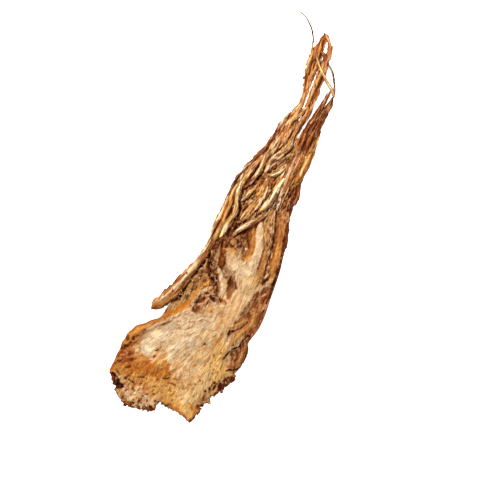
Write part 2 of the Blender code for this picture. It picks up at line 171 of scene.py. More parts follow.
# The cut face of the crown and waist, from the broad patches to the fine marks.
CROWN_STROKES = [
    ("cream", 1, 0, 1, [(-38, -66, 9), (-26, -60, 14), (-14, -58, 16), (-4, -50, 12), (4, -36, 9),
     (9, -22, 7), (15, -8, 4)]),
    ("straw", 0.85, 0, 1.6, [(-41, -61, 4), (-34, -63, 5), (-26, -66, 5), (-16, -70, 6), (-8, -68, 5),
     (-2, -60, 4), (-1, -52, 3)]),
    ("gold", 0.85, 0, 1.6, [(-42, -59, 3), (-36, -58, 4), (-29, -60, 3.4), (-23, -61, 3)]),
    ("gold", 0.6, 0, 1.8, [(-38, -62, 2), (-33, -64, 2.4), (-27, -66, 2.6), (-21, -68, 2.4)]),
    ("amber", 0.95, -0.1, 1.4, [(-43, -59.5, 1.6), (-40, -56.5, 3.2), (-38, -53.5, 3.6), (-37, -50.5, 2.6),
     (-36, -48, 1.2)]),
    ("brown", 0.85, 0, 1.6, [(-41, -58.6, 1.4), (-38.6, -55.5, 2.8), (-37, -52, 2)]),
    ("russet", 0.3, 0, 1.6, [(-40, -57.6, 1.4), (-38.6, -55, 2.2), (-37.4, -52.4, 1.4)]),
    ("rust", 0.55, 0, 1.8, [(-40, -57.6, 1), (-38.4, -54.5, 1.8), (-37.2, -51.6, 1)]),
    ("amber", 0.85, 0, 1.6, [(-36, -58.6, 1.8), (-31.5, -59.2, 2.2), (-27, -60.6, 2.8), (-23.5, -62, 2.4)]),
    ("rust", 0.35, 0, 1.4, [(-30.5, -59.4, 1.4), (-27, -60.4, 1.8), (-24, -61.4, 1.6)]),
    ("amber", 0.35, 0, 1.6, [(-34, -67, 2.2), (-30, -69.6, 2), (-22, -69.6, 1.6)]),
    ("gold", 0.8, 0, 0.8, [(-22.4, -52, 0.7), (-23.4, -55, 1.6), (-24.6, -58, 2), (-24.6, -61, 1.8)]),
    ("pale", 0.9, 0.15, 0.9, [(-29.6, -53, 2.6), (-28.6, -50, 3.2), (-25, -47.5, 3.8), (-20, -46.6, 4.2),
     (-14, -46, 4)]),
    ("pale", 0.85, 0.15, 0.9, [(-19.2, -55.5, 2.2), (-18, -52.5, 3.2), (-14, -50, 4), (-9, -47.5, 3.6)]),
    ("white", 0.9, 0.15, 0.7, [(-30.2, -53.4, 1.6), (-29.8, -50.6, 1.6), (-27.4, -48.6, 1.6),
     (-22, -47.2, 1.4)]),
    ("white", 0.8, 0.15, 0.7, [(-20.6, -56.6, 1.2), (-20, -53.2, 1.4), (-17.6, -50.6, 1.4),
     (-13, -48.8, 1.2)]),
    ("cream", 0.8, 0, 1.2, [(-12, -55, 3.4), (-9, -58, 3), (-14, -61, 3.2), (-16, -65, 2.2)]),
    ("pale", 0.5, 0, 1, [(-10, -43.5, 3), (-4, -42, 2.4), (-6, -48, 2.6)]),
    ("peach", 0.85, 0.1, 0.9, [(-38, -67.5, 1.4), (-34.5, -70.6, 2.6), (-31, -72.6, 2.4),
     (-27.6, -73.6, 1.6)]),
    ("tan", 0.5, -0.1, 0.9, [(-36.5, -63.5, 1.2), (-33.2, -66.4, 1.5), (-30.5, -67.6, 1)]),
    ("gold", 0.7, 0, 1.2, [(-24, -73, 1.6), (-20, -73, 2.6), (-16, -75, 3), (-12.5, -76, 2.8),
     (-12.6, -79, 1.8)]),
    ("amber", 0.55, 0, 0.8, [(-22, -75.4, 0.6), (-18.4, -77.4, 0.8), (-15.4, -78.8, 1), (-12.2, -79.6, 1.4)]),
    ("yellow", 0.55, 0, 1, [(-14, -72.8, 1.4), (-10, -71, 2.2), (-7.6, -66, 1.8)]),
    ("yellow", 0.85, 0.1, 0.5, [(-3.4, -54.2, 0.6), (-5.4, -58.2, 1), (-8, -62, 1), (-10.6, -66, 0.7)]),
    ("yellow", 0.6, 0, 0.9, [(0.4, -50.4, 1.4), (-0.6, -54, 2), (-1.6, -58, 2.2), (-1.4, -62, 1.8)]),
    ("yellow", 0.55, 0, 1.4, [(-27, -68, 2.2), (-21, -70.6, 3.2), (-14, -70.4, 4.2), (-9, -67, 3.6),
     (-5, -61.5, 2.4)]),
    ("yellow", 0.7, 0, 0.8, [(-16.4, -75.6, 1.4), (-13.6, -77.4, 2), (-12.6, -79.6, 1.2)]),
    ("yellow", 0.6, 0, 1.2, [(-18, -71.6, 2), (-12, -72.6, 2.4), (-8, -70, 2.2)]),
    ("pale", 0.7, 0, 1.4, [(-20, -43.4, 2), (-14, -41.6, 3.4), (-8, -40.6, 2.6)]),
    ("white", 0.4, 0, 1.4, [(-19, -43.6, 3), (-13, -42.2, 4.4), (-8, -42.2, 3.4)]),
    ("yellow", 0.5, 0, 1.4, [(-16, -72, 3), (-11, -70, 4), (-8, -67, 3)]),
    ("pale", 0.45, 0, 1.4, [(-15, -72, 3), (-10, -69, 4), (-5, -62, 2.6)]),
    ("amber", 0.35, -0.1, 0.6, [(-3.6, -52.6, 0.6), (-5, -55.6, 0.6), (-7.6, -59, 0.5)]),
    ("pale", 0.6, 0.1, 0.3, [(-8.6, -49.8, 0.4), (-12, -53.6, 0.5), (-15.6, -56.6, 0.5), (-19.4, -61, 0.4)]),
    ("tan", 0.5, -0.15, 0.3, [(-12.6, -55, 0.3), (-16.2, -58, 0.35), (-19.8, -61.8, 0.3)]),
    ("straw", 0.6, 0.1, 0.3, [(-5, -45.6, 0.5), (-8.4, -51, 0.5), (-9.4, -56, 0.5), (-12.8, -61, 0.5)]),
    ("olive", 0.55, -0.2, 0.3, [(-31.6, -47.8, 0.35), (-32.6, -49.2, 0.4), (-32.9, -51, 0.4),
     (-32.6, -53.4, 0.4)]),
    ("olive", 0.4, -0.1, 0.3, [(-22, -51, 0.4), (-22.4, -53.4, 0.4), (-22.8, -56, 0.4)]),
    ("grey", 0.35, 0, 0.8, [(-31, -53, 0.8), (-29.4, -54.8, 0.6)]),
    ("amber", 0.6, -0.15, 0.4, [(-31.6, -55.6, 0.5), (-29, -56.2, 0.5), (-26.4, -55.2, 0.4),
     (-25.2, -53, 0.4), (-24.2, -51.4, 0.3)]),
    ("amber", 0.5, -0.15, 0.4, [(-22.6, -57.6, 0.5), (-20.4, -59.2, 0.5), (-18.2, -57.6, 0.4)]),
    ("gold", 0.8, 0, 0.5, [(-4.6, -25.6, 0.9), (-8.4, -27.2, 1), (-11, -30, 1.3), (-13.4, -33.6, 1.5),
     (-16, -36, 1.8), (-19.5, -38, 1.6), (-23, -39.6, 1.4), (-28, -41.3, 1.3), (-33, -43.5, 1.5),
     (-36.5, -46.6, 1.6), (-38.6, -49.4, 1.4)]),
    ("amber", 0.6, -0.1, 0.6, [(-13.6, -34, 0.8), (-16.2, -36.2, 1), (-19.4, -37.4, 0.8), (-24, -39.2, 0.6)]),
    ("pale", 0.7, 0.1, 0.3, [(-4.3, -28.2, 0.5), (-8.4, -29.8, 0.6), (-11.4, -34, 0.7), (-13.4, -37.2, 0.8),
     (-18, -38.9, 0.5), (-24, -42, 0.6), (-30, -44.6, 0.6)]),
    ("pale", 0.7, 0.15, 0.6, [(-3.6, -41.8, 1.6)]),
    ("umber", 0.85, -0.3, 0.5, [(-38.8, -46.4, 0.9), (-37.6, -48.2, 0.7)]),
    ("dark", 0.85, -0.4, 0.4, [(-36.1, -49.4, 0.7), (-35.6, -47.7, 0.5)]),
    ("rust", 0.5, 0, 0.3, [(-33.2, -46.8, 0.5)]),
]
CROWN_MARKS = [
    ("black", 1, -0.7, 0.7, [(-45.4, -62, 0.6), (-43.6, -63.2, 1.2), (-42.6, -65.4, 1.8), (-41.5, -67.2, 1.4),
     (-39.4, -66.8, 0.7)]),
    ("dark", 0.8, -0.3, 0.5, [(-41.6, -61.2, 0.6), (-40.8, -62.4, 0.5)]),
    ("peach", 0.9, 0.3, 0.3, [(-40.9, -63.8, 0.6)]),
    ("dark", 0.95, -0.3, 0.3, [(-42.4, -68, 0.4), (-42.5, -69.6, 0.5), (-41.6, -71.6, 0.55),
     (-40.4, -73.3, 0.6), (-38.6, -74.6, 0.6), (-36, -75.6, 0.6), (-33.4, -76, 0.6)]),
    ("gold", 0.7, 0, 0.4, [(-40.9, -68.8, 0.7), (-40.2, -70.8, 0.9)]),
    ("rust", 0.8, -0.3, 0.6, [(-39.4, -72, 0.7), (-38, -73.8, 0.8), (-35.2, -74.4, 0.8), (-33.4, -75, 0.6)]),
    ("umber", 0.6, -0.3, 0.7, [(-37, -74.4, 0.4), (-35, -74.9, 0.5), (-31.6, -75.2, 0.5)]),
    ("black", 0.95, -0.5, 0.2, [(-32, -74.8, 0.3), (-31, -75.3, 0.45), (-29.8, -76.1, 0.45)]),
    ("black", 1, -0.3, 0.2, [(-29.6, -77.3, 0.5)]),
    ("black", 0.95, -0.5, 0.2, [(-28.6, -75.8, 0.4), (-27.9, -76.2, 0.4), (-27.1, -77.1, 0.4)]),
    ("dark", 0.95, -0.4, 0.2, [(-26.8, -73.3, 0.35), (-26, -73.8, 0.45)]),
    ("white", 0.8, 0.2, 0.3, [(-30.2, -75.3, 0.35)]),
    ("white", 0.8, 0.2, 0.3, [(-39.6, -73, 0.3)]),
    ("umber", 0.85, -0.3, 0.1, [(-26.4, -53.4, 0.25), (-25.5, -52.8, 0.35)]),
    ("dark", 0.85, -0.3, 0.1, [(-27.3, -56, 0.3), (-26.9, -55.3, 0.4), (-26.4, -55.6, 0.25)]),
    ("umber", 0.85, -0.3, 0.1, [(-34, -54.1, 0.38)]),
    ("rust", 0.8, -0.2, 0.1, [(-30.1, -61.6, 0.35)]),
    ("rust", 0.6, -0.2, 0.2, [(-35.2, -59.6, 0.3), (-34.6, -59.8, 0.3)]),
    ("umber", 0.9, -0.4, 0.2, [(-38.6, -64.2, 0.3), (-37, -65, 0.4), (-35.3, -65.9, 0.3)]),
    ("rust", 0.7, -0.3, 0.2, [(-33.6, -63.7, 0.25), (-31.4, -63.8, 0.3)]),
    ("rust", 0.5, -0.2, 0.2, [(-34.6, -62.6, 0.2), (-32.4, -62.2, 0.25), (-30.6, -62.8, 0.2)]),
    ("umber", 0.8, -0.2, 0.2, [(-35.5, -68.2, 0.3), (-35, -69.3, 0.35)]),
    ("dark", 0.85, -0.2, 0.1, [(-33.4, -68.8, 0.42)]),
    ("dark", 0.85, -0.2, 0.1, [(-31.5, -71.2, 0.42)]),
    ("umber", 0.85, -0.2, 0.1, [(-29.8, -70.6, 0.36)]),
    ("rust", 0.7, -0.2, 0.2, [(-27.6, -70.4, 0.35), (-26.4, -70.8, 0.35)]),
    ("rust", 0.75, -0.2, 0.1, [(-22.3, -71.2, 0.4)]),
    ("umber", 0.95, -0.4, 0.2, [(-23.8, -64.4, 0.25), (-22.8, -64.7, 0.4), (-20.8, -64.4, 0.25)]),
    ("rust", 0.8, -0.3, 0.2, [(-21.2, -66.3, 0.3), (-19.6, -66.7, 0.45), (-18.5, -67.4, 0.35)]),
    ("amber", 0.8, -0.2, 0.2, [(-19.2, -64.8, 0.3), (-17.4, -65.2, 0.25)]),
    ("black", 1, -0.6, 0.3, [(-14.3, -80.9, 0.4), (-13.2, -82, 0.8), (-12, -81.2, 0.8), (-10.7, -79.8, 0.5)]),
    ("umber", 0.85, -0.4, 0.3, [(-9.5, -75.4, 0.55), (-8.9, -77.4, 0.3), (-9.6, -78.4, 0.35)]),
    ("dark", 0.95, -0.2, 0.1, [(-5.1, -73.9, 0.5)]),
    ("dark", 0.95, -0.2, 0.1, [(-3.1, -71.6, 0.5)]),
    ("umber", 0.9, -0.3, 0.3, [(-4.9, -69.9, 0.4), (-4.6, -69, 0.5), (-5.2, -68.2, 0.3)]),
    ("dark", 0.9, -0.3, 0.1, [(-6.9, -69.4, 0.35), (-6.4, -69.7, 0.35)]),
    ("rust", 0.8, -0.2, 0.1, [(-13, -74.5, 0.4)]),
    ("rust", 0.8, -0.2, 0.1, [(-10.7, -66.8, 0.35)]),
    ("rust", 0.7, -0.2, 0.1, [(-8.6, -65.2, 0.35)]),
    ("amber", 0.9, -0.2, 0.2, [(-3.3, -60.8, 0.6)]),
    ("amber", 0.6, -0.1, 0.3, [(-3.5, -62.4, 0.5)]),
    ("amber", 0.7, -0.2, 0.2, [(-11.4, -59.2, 0.3), (-10.3, -59.2, 0.35)]),
    ("olive", 0.8, -0.2, 0.7, [(-3.6, -70, 0.9), (-2.6, -68.2, 1.3), (-0.8, -67.6, 1)]),
    ("umber", 0.6, -0.3, 0.8, [(-2.8, -66.6, 0.4), (-1.6, -67.8, 0.4), (-3.4, -69, 0.3)]),
    ("umber", 0.95, 0.2, 0.3, [(5, -63.9, 0.5), (3.4, -64.7, 1), (1.6, -65.6, 1.1), (0.1, -67.2, 1),
     (-0.9, -68.9, 0.7), (-2.8, -70.6, 0.5)]),
    ("brown", 0.5, 0.1, 0.3, [(3.2, -64.8, 0.4), (1.4, -66, 0.5)]),
    ("black", 0.95, -0.7, 0.2, [(2.4, -64, 0.3), (0.6, -65.4, 0.35), (-1, -67.3, 0.45), (-0.8, -68.3, 0.4)]),
    ("straw", 0.9, 0.2, 0.3, [(1.4, -62.6, 0.6), (3.6, -63.1, 0.6), (5.3, -63.2, 0.4)]),
    ("dark", 1, -0.8, 0.3, [(1.4, -61.2, 0.2), (2.6, -60.8, 0.36), (4.5, -61.2, 0.4), (7.2, -60.4, 0.3)]),
    ("dark", 0.9, -0.4, 0.1, [(-6.85, -50.75, 0.48)]),
    ("rust", 0.7, -0.2, 0.2, [(-3.3, -47.8, 0.3), (-2.5, -47.2, 0.4)]),
    ("olive", 0.5, -0.1, 0.3, [(-13.1, -47.4, 0.5)]),
    ("grey", 0.7, -0.15, 0.1, [(-13, -41.8, 0.4)]),
    ("grey", 0.6, -0.15, 0.1, [(-11.3, -41.8, 0.4)]),
    ("grey", 0.6, -0.15, 0.1, [(-13.4, -43.6, 0.35)]),
    ("brown", 0.7, -0.15, 0.1, [(-9, -41.4, 0.25), (-8.2, -41.2, 0.3)]),
    ("brown", 0.7, -0.15, 0.1, [(-6.4, -41.2, 0.25), (-5.5, -41.7, 0.25)]),
    ("brown", 0.6, -0.15, 0.2, [(-5, -45, 0.2), (-3.4, -45.4, 0.25), (-1.8, -45.2, 0.2)]),
    ("grey", 0.5, -0.1, 0.1, [(-12.2, -53.6, 0.4)]),
    ("grey", 0.5, -0.1, 0.1, [(-14.8, -55, 0.4)]),
    ("olive", 0.5, -0.1, 0.2, [(-11.8, -64.8, 0.45)]),
    ("grey", 0.4, -0.1, 0.2, [(-7.2, -52.8, 0.3), (-6.4, -52.6, 0.3)]),
]
# The waist: the fork of pale wood, its pockets and knot, the rough bark to its left and the folds to its
# right.
# Most black and dark lines here are painted shade in cracks and furrows, which their lift also sinks; the
# small white, peach and pink dabs along the furrow down the right are painted highlights.
WAIST_STROKES = [
    ("tan", 0.9, 0, 0.6, [(18.5, 4, 2.2), (18.4, -4, 2.2), (18, -12, 2), (16.6, -18, 2), (15, -24, 2)]),
    ("brown", 0.9, 0, 0.6, [(24, 6, 3.5), (24, -2, 2.8), (23.4, -10, 2.6), (22, -18, 2.4), (20, -26, 2.2),
     (17.6, -33, 2.6), (14.4, -40, 3.2), (10.6, -46, 3)]),
    ("cream", 0.9, 0.1, 0.4, [(3.2, -15.4, 1.8), (5, -19, 2.8), (9, -23, 4.6), (9, -28, 4.2), (7, -33, 4),
     (4, -38, 3.2)]),
    ("pale", 0.95, 0.35, 0.15, [(15.4, -2.4, 0.8), (15.2, -6, 1.5), (15.1, -10, 1.65), (14.6, -14, 1.8),
     (13, -18, 1.9), (11, -21.4, 2.2)]),
    ("cream", 0.95, 0.3, 0.3, [(20.4, -24.2, 0.8), (18.4, -26.8, 1.1), (15.6, -28.4, 1.3), (12.6, -31, 1.6),
     (9.4, -34.2, 2.2), (6, -38, 2.4), (4.2, -40.8, 1.4)]),
    ("straw", 0.6, 0, 0.8, [(12.4, -24, 1.4), (13, -27, 1.4)]),
    ("tan", 0.26, 0, 0.8, [(6.4, -35, 2.8), (2.8, -40, 3)]),
    ("white", 0.35, 0, 0.6, [(5.4, -18.4, 2), (7.2, -21.6, 3)]),
    ("amber", 0.75, -0.35, 0.15, [(13.2, -3, 0.4), (13, -7.6, 0.45), (13, -12, 0.4), (12, -15, 0.4)]),
    ("brown", 0.7, -0.35, 0.15, [(16.7, -1.6, 0.4), (16.95, -6, 0.45), (16.9, -11, 0.4), (16, -16, 0.4),
     (14.5, -20.6, 0.4)]),
    ("brown", 0.95, -0.6, 0.3, [(13.2, -2.6, 0.8), (11.9, -6.6, 1.7), (11.1, -11, 2), (9.8, -14.6, 1.9),
     (8.8, -16.6, 1)]),
    ("gold", 0.75, -0.1, 0.4, [(12.5, -5.4, 0.7), (12.2, -9.6, 0.8), (11.8, -13.4, 0.8), (10, -16.4, 0.8),
     (8.2, -16.4, 0.6)]),
    ("tan", 0.5, 0, 0.4, [(11.6, -7, 1.2), (10.8, -11, 1.6), (9.6, -14.4, 1.4)]),
    ("rust", 0.6, -0.2, 0.5, [(12, -6.4, 0.4), (11.4, -10.6, 0.5), (10.8, -14.4, 0.5), (9, -16.4, 0.4)]),
    ("umber", 0.35, -0.3, 0.8, [(9.6, -5.6, 1), (8.4, -8.4, 1.2), (7.4, -11, 1.1), (8.6, -13.4, 0.9)]),
    ("amber", 0.5, 0.1, 0.4, [(10.6, -7.4, 0.5), (11.2, -10, 0.5)]),
    ("dark", 0.8, -0.3, 0.4, [(10.3, -9.6, 0.5), (10.6, -12, 0.3)]),
    ("black", 0.9, -0.4, 0.2, [(6.2, -9, 0.25), (7.6, -11.2, 0.6), (8.8, -13.2, 0.4)]),
    ("white", 0.9, 0.4, 0.1, [(9.7, -12.6, 0.5)]),
    ("olive", 0.7, 0.2, 0.5, [(4.6, -9.4, 1.1), (5.8, -10.6, 0.9)]),
    ("straw", 0.8, 0.3, 0.3, [(2.2, -13, 0.8), (3.8, -13.2, 0.8), (5.2, -14.2, 0.7)]),
    ("dark", 0.8, -0.4, 0.3, [(1.4, -11.8, 0.35), (3, -11, 0.6), (4.6, -11.6, 0.3)]),
    ("amber", 0.8, -0.1, 0.3, [(-0.8, -15.6, 0.7), (0.2, -17.4, 0.8), (0.4, -18.8, 0.5)]),
    ("dark", 0.9, -0.5, 0.15, [(0.9, -17, 0.3), (1.1, -18.6, 0.5)]),
    ("grey", 0.75, -0.1, 0.5, [(1.4, -20.4, 0.9), (3.4, -22.4, 1.2), (4.8, -21.6, 0.7)]),
    ("umber", 0.8, -0.5, 0.15, [(-1.6, -20.2, 0.3), (-0.9, -21.4, 0.35), (-0.5, -22.6, 0.25)]),
    ("pale", 0.9, 0.3, 0.2, [(-1.9, -19.6, 0.3), (-0.8, -21.8, 0.8), (-0.5, -25, 0.9), (0.1, -28.4, 0.9),
     (0.3, -31.2, 0.6)]),
    ("brown", 0.9, -0.6, 0.5, [(1.9, -23.8, 1), (3, -25.2, 1.8), (3.5, -27.6, 2), (3, -30, 1.5),
     (2.8, -32, 0.9)]),
    ("grey", 0.6, 0.1, 0.5, [(3.6, -24, 0.6), (4.4, -27, 0.7), (3.8, -29.6, 0.7)]),
    ("umber", 0.7, -0.3, 0.4, [(2, -24.6, 0.4), (2.4, -27.6, 0.5), (3.2, -25.2, 0.4)]),
    ("umber", 0.7, -0.4, 0.15, [(4.9, -23.6, 0.3), (5.4, -26, 0.35), (5.8, -28.6, 0.45)]),
    ("brown", 0.9, -0.2, 0.5, [(-2.8, -30.2, 0.5), (-1.4, -32.2, 0.9), (0.6, -33.6, 0.9), (1.8, -34.4, 0.5)]),
    ("rust", 0.7, -0.2, 0.4, [(-1.8, -31.6, 0.3), (-0.2, -33.2, 0.4), (1.2, -34.2, 0.35)]),
    ("amber", 0.7, 0.1, 0.3, [(-0.8, -32, 0.3), (0.8, -33.4, 0.35)]),
    ("umber", 0.9, -0.8, 0.4, [(-4.6, -31.2, 0.4), (-3.8, -32.4, 0.7), (-2.8, -33.4, 0.7),
     (-1.6, -34.2, 0.5)]),
    ("grey", 0.7, 0.1, 0.4, [(-3.4, -32, 0.35), (-2.4, -33.6, 0.4), (-1.4, -34.6, 0.4)]),
    ("black", 0.8, -0.4, 0.3, [(-4.4, -31.8, 0.25), (-3.9, -33, 0.3), (-3, -34, 0.25)]),
    ("peach", 0.9, 0.4, 0.1, [(-5.2, -32.4, 0.35), (-4.3, -33.6, 0.35), (-3.6, -34.6, 0.3)]),
    ("umber", 0.9, -0.6, 0.1, [(-6.5, -35.4, 0.35), (-6, -34.2, 0.4), (-5.4, -33.2, 0.3)]),
    ("white", 0.8, 0.2, 0.1, [(-6, -35.5, 0.35)]),
    ("tan", 0.8, -0.2, 0.5, [(-4.8, -35.8, 0.7), (-3.4, -36.6, 0.8), (-4.4, -37.8, 0.7)]),
    ("umber", 0.8, -0.3, 0.15, [(-4.5, -37.2, 0.3), (-4.1, -37.9, 0.4)]),
    ("gold", 0.5, 0, 0.5, [(-1.8, -36, 0.8), (-0.2, -38.6, 0.8), (-0.8, -41.6, 0.8), (-1.8, -44.6, 0.8)]),
    ("olive", 0.75, -0.2, 0.6, [(-7, -22.6, 1.6), (-9.4, -24.6, 1.9), (-12, -27.6, 1.9), (-15, -31.4, 1.7),
     (-18, -34.6, 1.2), (-21, -36.6, 0.9)]),
    ("bark", 0.3, 0, 1, [(-7.4, -23.4, 1.6), (-11, -27.6, 2), (-15.6, -32.2, 1.6)]),
    ("bark", 0.85, -0.3, 0.7, [(-1.6, -10.6, 1.8), (-3, -13.6, 2.4), (-3.2, -17, 2.6), (-3.8, -20.4, 2.4),
     (-3.6, -23.4, 1.9), (-2.8, -26.4, 1.5), (-2.6, -29.4, 1.2)]),
    ("grey", 0.45, 0.1, 0.9, [(-1.6, -11, 1.4), (-3, -14, 2), (-3.2, -18, 2.2), (-3.4, -22, 1.8),
     (-2.8, -27, 1.2)]),
    ("grey", 0.7, 0.3, 0.8, [(-3.4, -16, 0.8), (-2, -15, 0.5), (-2.8, -18.4, 0.7)]),
    ("straw", 0.7, 0.4, 0.3, [(-4.8, -13.2, 0.3), (-4, -13.6, 0.4), (-4.6, -14.4, 0.3)]),
    ("grey", 0.8, 0.3, 0.5, [(-1, -13.4, 0.5), (-1.8, -16.4, 0.5), (-1.6, -18.8, 0.6), (-3.4, -21.4, 0.6)]),
    ("umber", 0.8, -0.4, 0.6, [(-1.4, -11.6, 0.5), (-3, -12, 0.5), (-3.8, -19.4, 0.4), (-2.4, -22.6, 0.5),
     (-2.6, -24.6, 0.5), (-2, -28, 0.3)]),
    ("black", 0.95, -1, 0.3, [(-5.2, -12.8, 0.4), (-5.2, -15, 0.5), (-4.9, -17.4, 0.6), (-4.9, -20, 0.5),
     (-5.5, -21.2, 0.4), (-5.2, -22.8, 0.4), (-4.1, -24.4, 0.45), (-3.1, -24.9, 0.6)]),
    ("straw", 0.8, 0.3, 0.1, [(-6.9, -19.6, 0.35), (-6.3, -18.2, 0.4), (-5.8, -16.6, 0.3)]),
    ("umber", 0.85, -0.4, 0.15, [(-10.4, -21.5, 0.3), (-9, -21.4, 0.3), (-7.4, -22, 0.3),
     (-5.8, -21.2, 0.3)]),
    ("black", 1, -1.2, 0.2, [(-6.7, -17.2, 0.3), (-7.8, -18.8, 0.5), (-9.3, -20.4, 0.5), (-10.6, -22, 0.5),
     (-12.6, -23.9, 0.5)]),
    ("black", 1, -1.2, 0.2, [(-12.4, -25.5, 0.3), (-14, -27, 0.5), (-15.6, -29.2, 0.5), (-17.2, -31.8, 0.6),
     (-18.5, -33.1, 0.6), (-20, -33.3, 0.5)]),
    ("white", 0.8, 0.2, 0.1, [(-12.7, -29.3, 0.45)]),
    ("dark", 0.8, -0.2, 0.1, [(-10.2, -28.4, 0.38)]),
    ("umber", 0.7, -0.3, 0.2, [(-20.6, -35.2, 0.4)]),
    ("white", 0.5, 0.2, 0.5, [(-21.6, -35.6, 0.6), (-19.2, -34.4, 0.5)]),
    ("tan", 0.9, 0.3, 0.3, [(22.9, -8.8, 0.8), (22.7, -12.4, 1.1), (21.8, -16.4, 1.1), (20.5, -20.6, 1),
     (20.2, -23.6, 0.8), (18.8, -26, 0.6)]),
    ("gold", 0.8, 0.1, 0.3, [(22.4, -10.4, 0.4), (21.8, -14.4, 0.5), (20.9, -18, 0.5), (20.2, -21, 0.4)]),
    ("peach", 0.9, 0.3, 0.15, [(20.1, -24.8, 0.5), (18.6, -26.6, 0.7), (16, -28, 0.8)]),
    ("umber", 0.95, -0.3, 0.4, [(26.6, 2, 1), (26.2, -4, 1), (25.2, -9.6, 1.1), (24.7, -14.4, 1.2),
     (23.4, -19.6, 1.3), (21.8, -25.4, 1.2), (20, -30, 1), (18.4, -35, 0.8)]),
    ("pink", 0.7, 0.2, 0.2, [(22.4, -18.6, 0.4), (22.9, -17.4, 0.3)]),
    ("dark", 0.9, -0.5, 0.1, [(25.9, -8.7, 0.35), (24.9, -9.1, 0.35), (24.1, -9.6, 0.25)]),
    ("tan", 0.8, 0.2, 0.3, [(24.6, -3, 0.6), (24.8, -7, 0.6)]),
    ("peach", 0.95, 0.3, 0.1, [(21.2, 2.6, 0.4), (21.05, -0.6, 0.45), (20.7, -3, 0.45), (20.7, -5.9, 0.5)]),
    ("dark", 0.85, -0.6, 0.3, [(21.8, 6.4, 0.35), (21.8, 2, 0.35), (21.5, -2, 0.3), (21.3, -5.6, 0.3)]),
    ("black", 0.95, -1, 0.45, [(20.8, -6.6, 0.25), (20.6, -9, 0.4), (20.2, -11.4, 0.5), (19.8, -13.4, 0.35)]),
    ("black", 0.9, -0.9, 0.45, [(19.4, -14.6, 0.25), (18.9, -16.6, 0.3), (18.3, -18.4, 0.35),
     (17.5, -20.8, 0.3)]),
    ("umber", 0.6, -0.3, 0.5, [(20.6, -8, 0.9), (19.8, -13, 0.9), (18.2, -18.4, 0.8)]),
    ("peach", 0.85, 0.3, 0.1, [(19.2, -13.2, 0.3), (18.4, -14.8, 0.4)]),
    ("peach", 0.8, 0.2, 0.1, [(18.9, -19.8, 0.35)]),
    ("peach", 0.7, 0.2, 0.1, [(17.4, -18.8, 0.25), (17, -20, 0.3)]),
    ("bark", 0.8, -0.5, 0.3, [(17.6, -22, 0.8), (16.8, -24.6, 1), (16.8, -26.4, 0.8)]),
    ("dark", 0.9, -0.6, 0.1, [(19.2, -22.8, 0.35), (18.6, -24.2, 0.4), (17.2, -25.6, 0.4)]),
    ("white", 0.95, 0.4, 0.1, [(17.2, -24.2, 0.5), (18.3, -23.1, 0.5)]),
    ("brown", 0.9, -0.5, 0.5, [(18.4, -28.2, 0.8), (15.8, -31, 1.5), (13.2, -34.2, 1.9), (10.8, -37.8, 1.7),
     (8, -41, 1.2), (5, -42.6, 0.8)]),
    ("bark", 0.7, 0, 0.6, [(17.4, -30.6, 0.8), (15, -33.6, 1.4), (12.8, -36.8, 1.4), (10.4, -40, 1)]),
    ("brown", 0.5, 0.1, 0.4, [(15.6, -32.6, 0.6), (13.4, -35.4, 0.7), (11.6, -38.4, 0.6)]),
    ("umber", 0.7, -0.4, 0.4, [(14.6, -30, 0.4), (12.2, -32.6, 0.5), (9.8, -36, 0.5), (7.6, -39.4, 0.5)]),
    ("dark", 0.9, -0.6, 0.15, [(17.9, -32, 0.35), (16.9, -33, 0.45), (16.3, -34.4, 0.35)]),
    ("peach", 0.9, 0.3, 0.1, [(15.9, -31.7, 0.3), (17.2, -30.8, 0.35)]),
    ("grey", 0.8, 0.1, 0.2, [(14.9, -34, 0.5), (15.4, -37.2, 0.5)]),
    ("peach", 0.9, 0.3, 0.1, [(15.9, -37.5, 0.3), (16.7, -36.4, 0.4), (17.4, -35.2, 0.3)]),
    ("pink", 0.75, 0.2, 0.2, [(18.9, -33, 0.4), (17.4, -37.6, 0.5), (15.6, -41.6, 0.5), (13.2, -45.4, 0.5),
     (11.9, -47.6, 0.4)]),
    ("bark", 0.8, -0.2, 0.4, [(16.4, -37.6, 0.8), (15, -41.2, 0.9), (13.2, -44.4, 0.8), (11.4, -47.2, 0.6)]),
    ("brown", 0.8, -0.2, 0.4, [(10.6, -39.8, 0.7), (10, -42.6, 0.8), (7.8, -44.8, 0.9), (5, -46.6, 0.8)]),
    ("tan", 0.85, 0.4, 0.25, [(12.9, -36.6, 0.5), (12.9, -39.6, 0.9), (12.2, -42.4, 0.9),
     (10.4, -44.8, 0.8)]),
    ("straw", 0.6, 0.2, 0.2, [(12.8, -38.4, 0.3), (12.4, -41.2, 0.35), (11, -43.8, 0.3)]),
    ("straw", 0.8, 0.3, 0.3, [(9.4, -41.2, 0.5), (7.2, -42.6, 0.6), (4.6, -43.4, 0.5)]),
    ("umber", 0.8, -0.6, 0.35, [(9, -43, 0.25), (7.2, -44.2, 0.32), (5.4, -45, 0.36), (3.4, -46, 0.34),
     (2.6, -47.6, 0.36), (2.2, -49.4, 0.3)]),
    ("brown", 0.6, -0.2, 0.5, [(8.6, -42.2, 0.6), (5, -44, 0.8), (2.6, -46.4, 0.8)]),
    ("dark", 0.85, -0.5, 0.3, [(4.4, -45.2, 0.25), (3, -45.8, 0.35), (2.4, -46.8, 0.4)]),
    ("peach", 0.8, 0.2, 0.4, [(3.4, -42, 0.7), (2.6, -43.6, 0.7), (1.6, -45, 0.4)]),
    ("tan", 0.8, 0.4, 0.25, [(9.4, -44.8, 0.8), (6.9, -46.6, 1.3), (5, -48.8, 1.1), (3.8, -50.4, 0.7)]),
    ("straw", 0.7, 0.1, 0.3, [(9, -45.4, 0.3), (6.9, -46.8, 0.5), (5.2, -48.8, 0.5)]),
    ("pink", 0.6, -0.1, 0.2, [(6.2, -47.8, 0.45)]),
    ("olive", 0.6, -0.2, 0.2, [(8.4, -47, 0.3), (6.6, -49.2, 0.35), (5.2, -51, 0.3)]),
